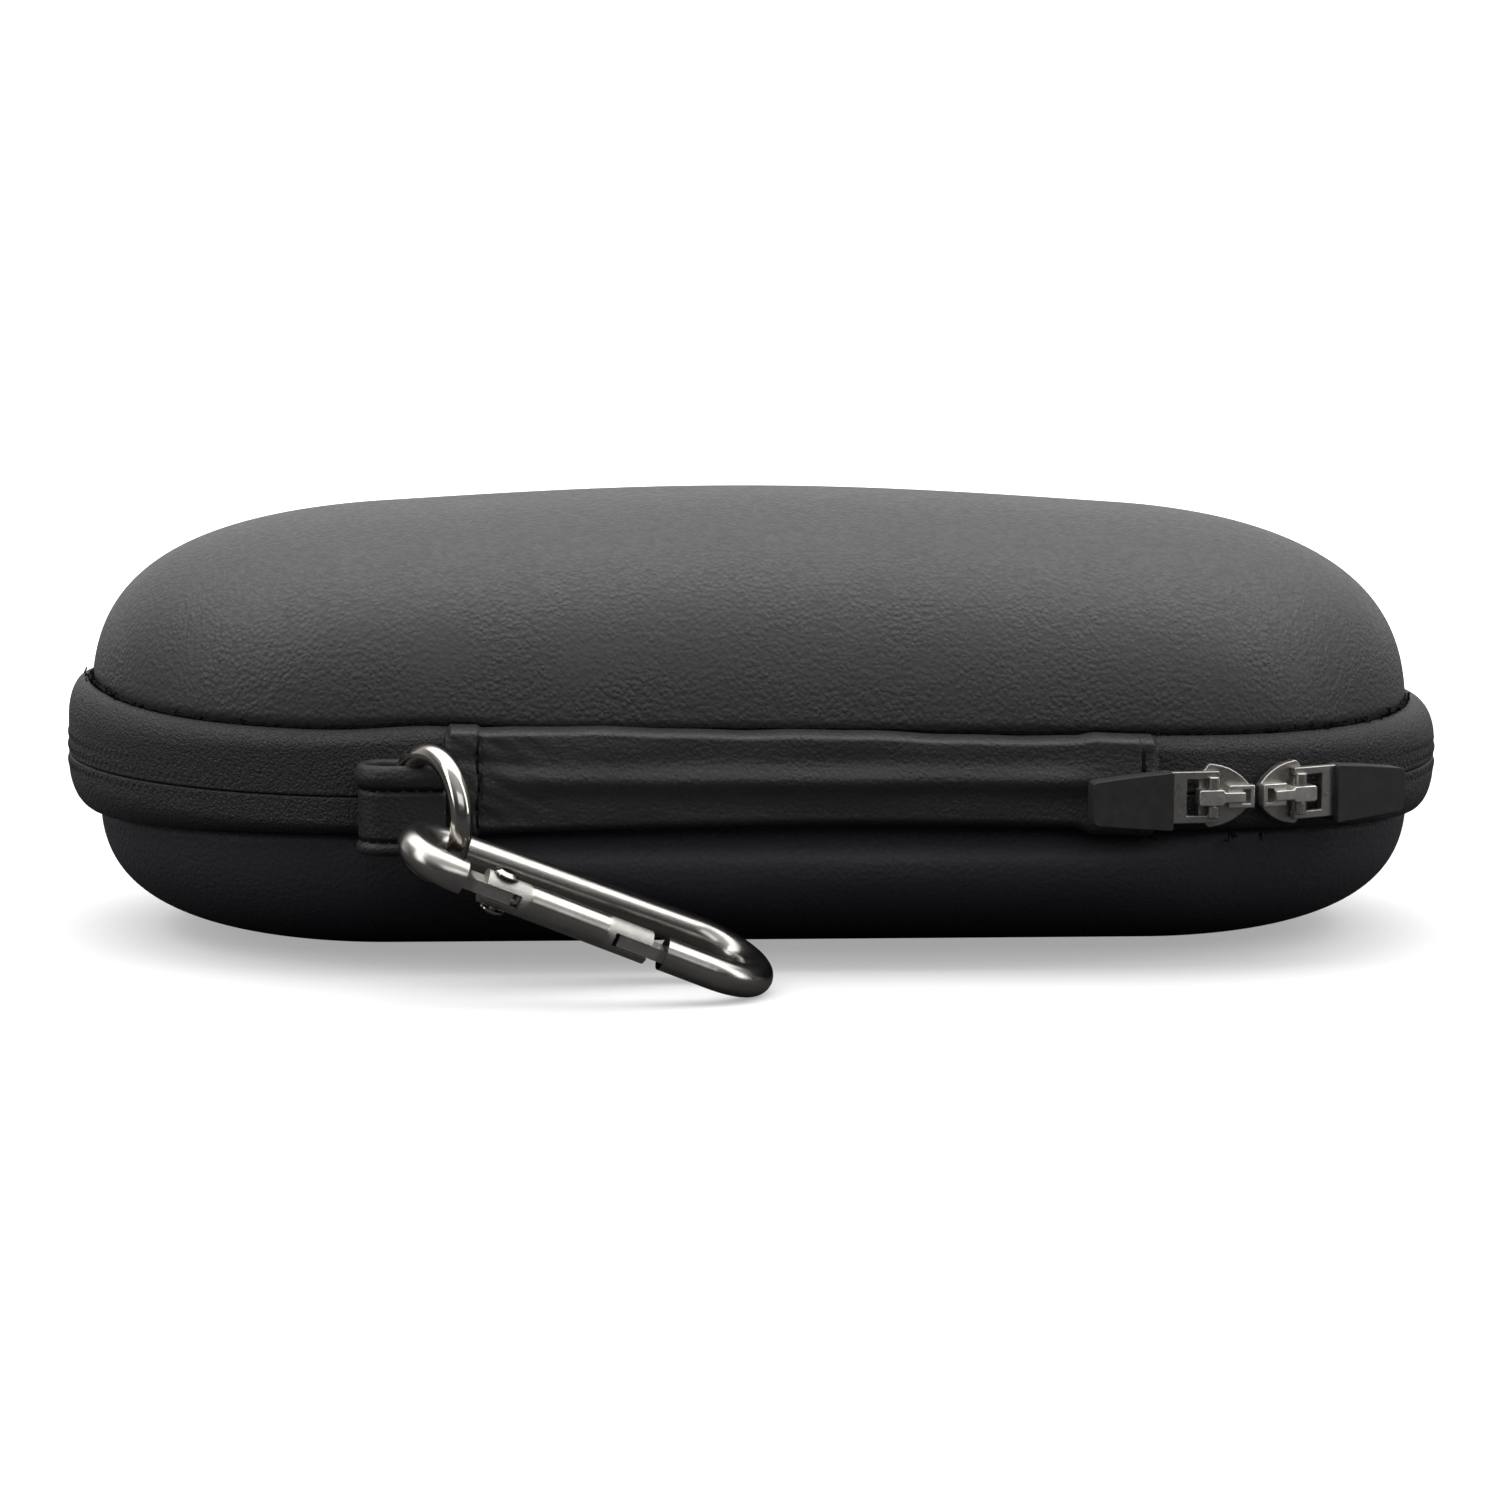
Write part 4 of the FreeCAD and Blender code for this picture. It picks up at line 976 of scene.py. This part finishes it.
def make_sliders():
    """Both sliders with their pulls, nose to nose, each where its pull's pin stands."""
    parts = slider_parts()
    looks = {"slider_body": ("slider_body_cast", ZINC, "slider_metal", "slider"),
             "slider_crown": ("slider_crown_cast", BRIGHT_ZINC, "slider_metal", "slider"),
             "pull_frame": ("pull_frame_cast", ZINC, "slider_metal", "pull"),
             "pull_grip": ("grip_moulded", RUBBER, "grip_rubber", "pull")}
    pins = {joint["name"]: joint["pos_m"] for joint in frame["joints"]}
    for side, turn in (("left", 1.0), ("right", -1.0)):
        pin = Vector(pins[f"{side}_pull_swing"]) / MM
        angle = math.atan2(pin.y, pin.x - HALF)
        outward = np.array([math.cos(angle), math.sin(angle), 0.0])
        nose = turn * np.array([-math.sin(angle), math.cos(angle), 0.0])
        up = np.array([0.0, 0.0, 1.0])
        origin = np.array([HALF, 0.0, SEAM]) + BAND * outward
        lean = LEAN if side == "right" else 0.0
        for name, solids in parts.items():
            shown, material, slot, body = looks[name]
            points, faces = join(solids)
            local = np.array(points)
            if body == "pull":
                local = leaned(local, lean)
            places = origin + local[:, :1] * nose + local[:, 1:2] * outward + local[:, 2:] * up
            made = piece(f"{side}_{shown}", places, faces, material, f"{side}_{body}", slot,
                         (f"{side}_{name}",))
            made.data.set_sharp_from_angle(angle=math.radians(38))
            flats = made.modifiers.new("flat_faces", "WEIGHTED_NORMAL")
            flats.keep_sharp = True


def leaned(local, lean):
    """Turns a pull about its pin."""
    x, y = local[:, 0], local[:, 1] - PIN_DEPTH
    turned = local.copy()
    turned[:, 0] = x * math.cos(lean) - y * math.sin(lean)
    turned[:, 1] = PIN_DEPTH + y * math.cos(lean) + x * math.sin(lean)
    return turned


# ---------------------------------------- hardware carried over from the frame


def dress_metal():
    """Finishes for the ring and the carabiner, which keep their CAD shapes."""
    finishes = {
        "carabiner_frame": (SATIN, "satin_nickel"), "carabiner_gate": (SATIN, "satin_nickel"),
        "gate_rivet": (POLISHED, "polished_nickel"), "ring": (POLISHED, "polished_nickel"),
        "gate_plunger": (STEEL, "spring_steel"), "gate_spring": (STEEL, "spring_steel")}
    for node, (material, slot) in finishes.items():
        shown = frame["nodes"][node]
        shown.data.materials.clear()
        shown.data.materials.append(material)


# ---------------------------------------- studio

FLOOR_BOUNCE = 0.05                      # what the floor gives back to the case; the camera sees it lighter
SKY, BEHIND, AROUND = 0.75, 0.95, 0.06   # how bright the surroundings are overhead, behind and elsewhere


def make_floor():
    """A white sweep: to the camera the floor glows, faintly beside the case so its soft shadow stays light,
    and fully white further off so no horizon shows.
    """
    half = 3.0                           # metres
    mesh = bpy.data.meshes.new("floor")
    mesh.from_pydata([(-half, -half, 0), (half, -half, 0), (half, half, 0), (-half, half, 0)], [],
                     [(0, 1, 2, 3)])
    floor = bpy.data.objects.new("floor", mesh)
    bpy.context.scene.collection.objects.link(floor)
    n = Nodes("floor_paint_and_glow")
    mottle = n.noise(n.object_mm(), 0.004, 3.0)
    seen = n.node("LightPath").outputs["Is Camera Ray"]
    # painted light: the camera sees the floor glow, 0.36 beside the case rising to full white from 330 mm off
    away = n.spread(n.distance(n.object_mm(), (0, 0, 0)), 150.0, 330.0)
    paint = n.blend(mottle, grey(0.62), grey(0.64))
    mesh.materials.append(n.finish(
        Base_Color=n.blend(seen, grey(FLOOR_BOUNCE), paint), Roughness=0.9, Specular_IOR_Level=0.1,
        Emission_Color=(1, 1, 1, 1),
        Emission_Strength=n.math("MULTIPLY", n.spread(away, 0.0, 1.0, 0.36, 1.0), seen)))


def make_world():
    """Soft studio surroundings: brightest overhead and low behind the case, dim in front."""
    n = Nodes("studio", world=True)
    toward = n.node("SeparateXYZ", Vector=n.node("TexCoord").outputs["Generated"]).outputs
    sky = n.spread(toward["Z"], 0.15, 0.95, 0.0, SKY, "SMOOTHSTEP")
    behind = n.spread(toward["Y"], 0.1, 0.9, 0.0, BEHIND, "SMOOTHSTEP")
    glow = n.math("ADD", n.math("MAXIMUM", sky, behind), AROUND)
    seen = n.node("LightPath").outputs["Is Camera Ray"]
    bpy.context.scene.world = n.finish(Color=(1, 1, 1, 1), Strength=n.math("MAXIMUM", glow, seen))


def make_light(name, place, target, size, size_y, power):
    """A rectangular area light, in metres and watts, aimed at a point and hidden from the camera."""
    data = bpy.data.lights.new(name, "AREA")
    data.shape = "RECTANGLE"
    data.size, data.size_y = size, size_y
    data.energy = power
    made = bpy.data.objects.new(name, data)
    bpy.context.scene.collection.objects.link(made)
    made.location = place
    made.rotation_mode = "QUATERNION"
    made.rotation_quaternion = (Vector(target) - Vector(place)).to_track_quat("-Z", "Y")
    made.visible_camera = False


def make_camera():
    """The product-shot camera: low, in front of the hinge side, a little to the left."""
    turn, lift, roll, distance = math.radians(5.14), math.radians(8.57), math.radians(0.577), 0.7
    target = Vector((0, 0, SEAM * MM))
    back = Vector((-math.sin(turn) * math.cos(lift), -math.cos(turn) * math.cos(lift), math.sin(lift)))
    data = bpy.data.cameras.new("camera")
    data.sensor_width = 36.0
    data.lens = 134.4
    data.shift_x, data.shift_y = -0.0035, -0.0023
    data.clip_start, data.clip_end = 0.05, 20.0
    camera = bpy.data.objects.new("camera", data)
    bpy.context.scene.collection.objects.link(camera)
    camera.location = target + back * distance
    camera.rotation_mode = "QUATERNION"
    facing = back.to_track_quat("Z", "Y")
    camera.rotation_quaternion = facing @ Matrix.Rotation(roll, 3, "Z").to_quaternion()
    bpy.context.scene.camera = camera


make_shells()
make_tapes()
make_coils()
make_welts()
make_ditch_thread_and_shade()
make_threads()
make_hinge_panel()
make_strap()
make_sliders()
dress_metal()
make_floor()
make_world()
make_light("overhead", (0.0, 0.15, 0.9), (0, 0, 0.03), 1.9, 1.1, 13.0)
make_light("front_softbox", (0.15, -1.2, 0.62), (0, 0, 0.02), 1.2, 0.4, 2.4)
make_light("left_strip", (-0.9, -0.3, 0.5), (0, 0, 0.03), 0.3, 0.9, 3.0)
make_light("right_strip", (0.9, -0.3, 0.5), (0, 0, 0.03), 0.3, 0.9, 3.0)
make_camera()
bpy.context.scene.view_settings.view_transform = "Standard"
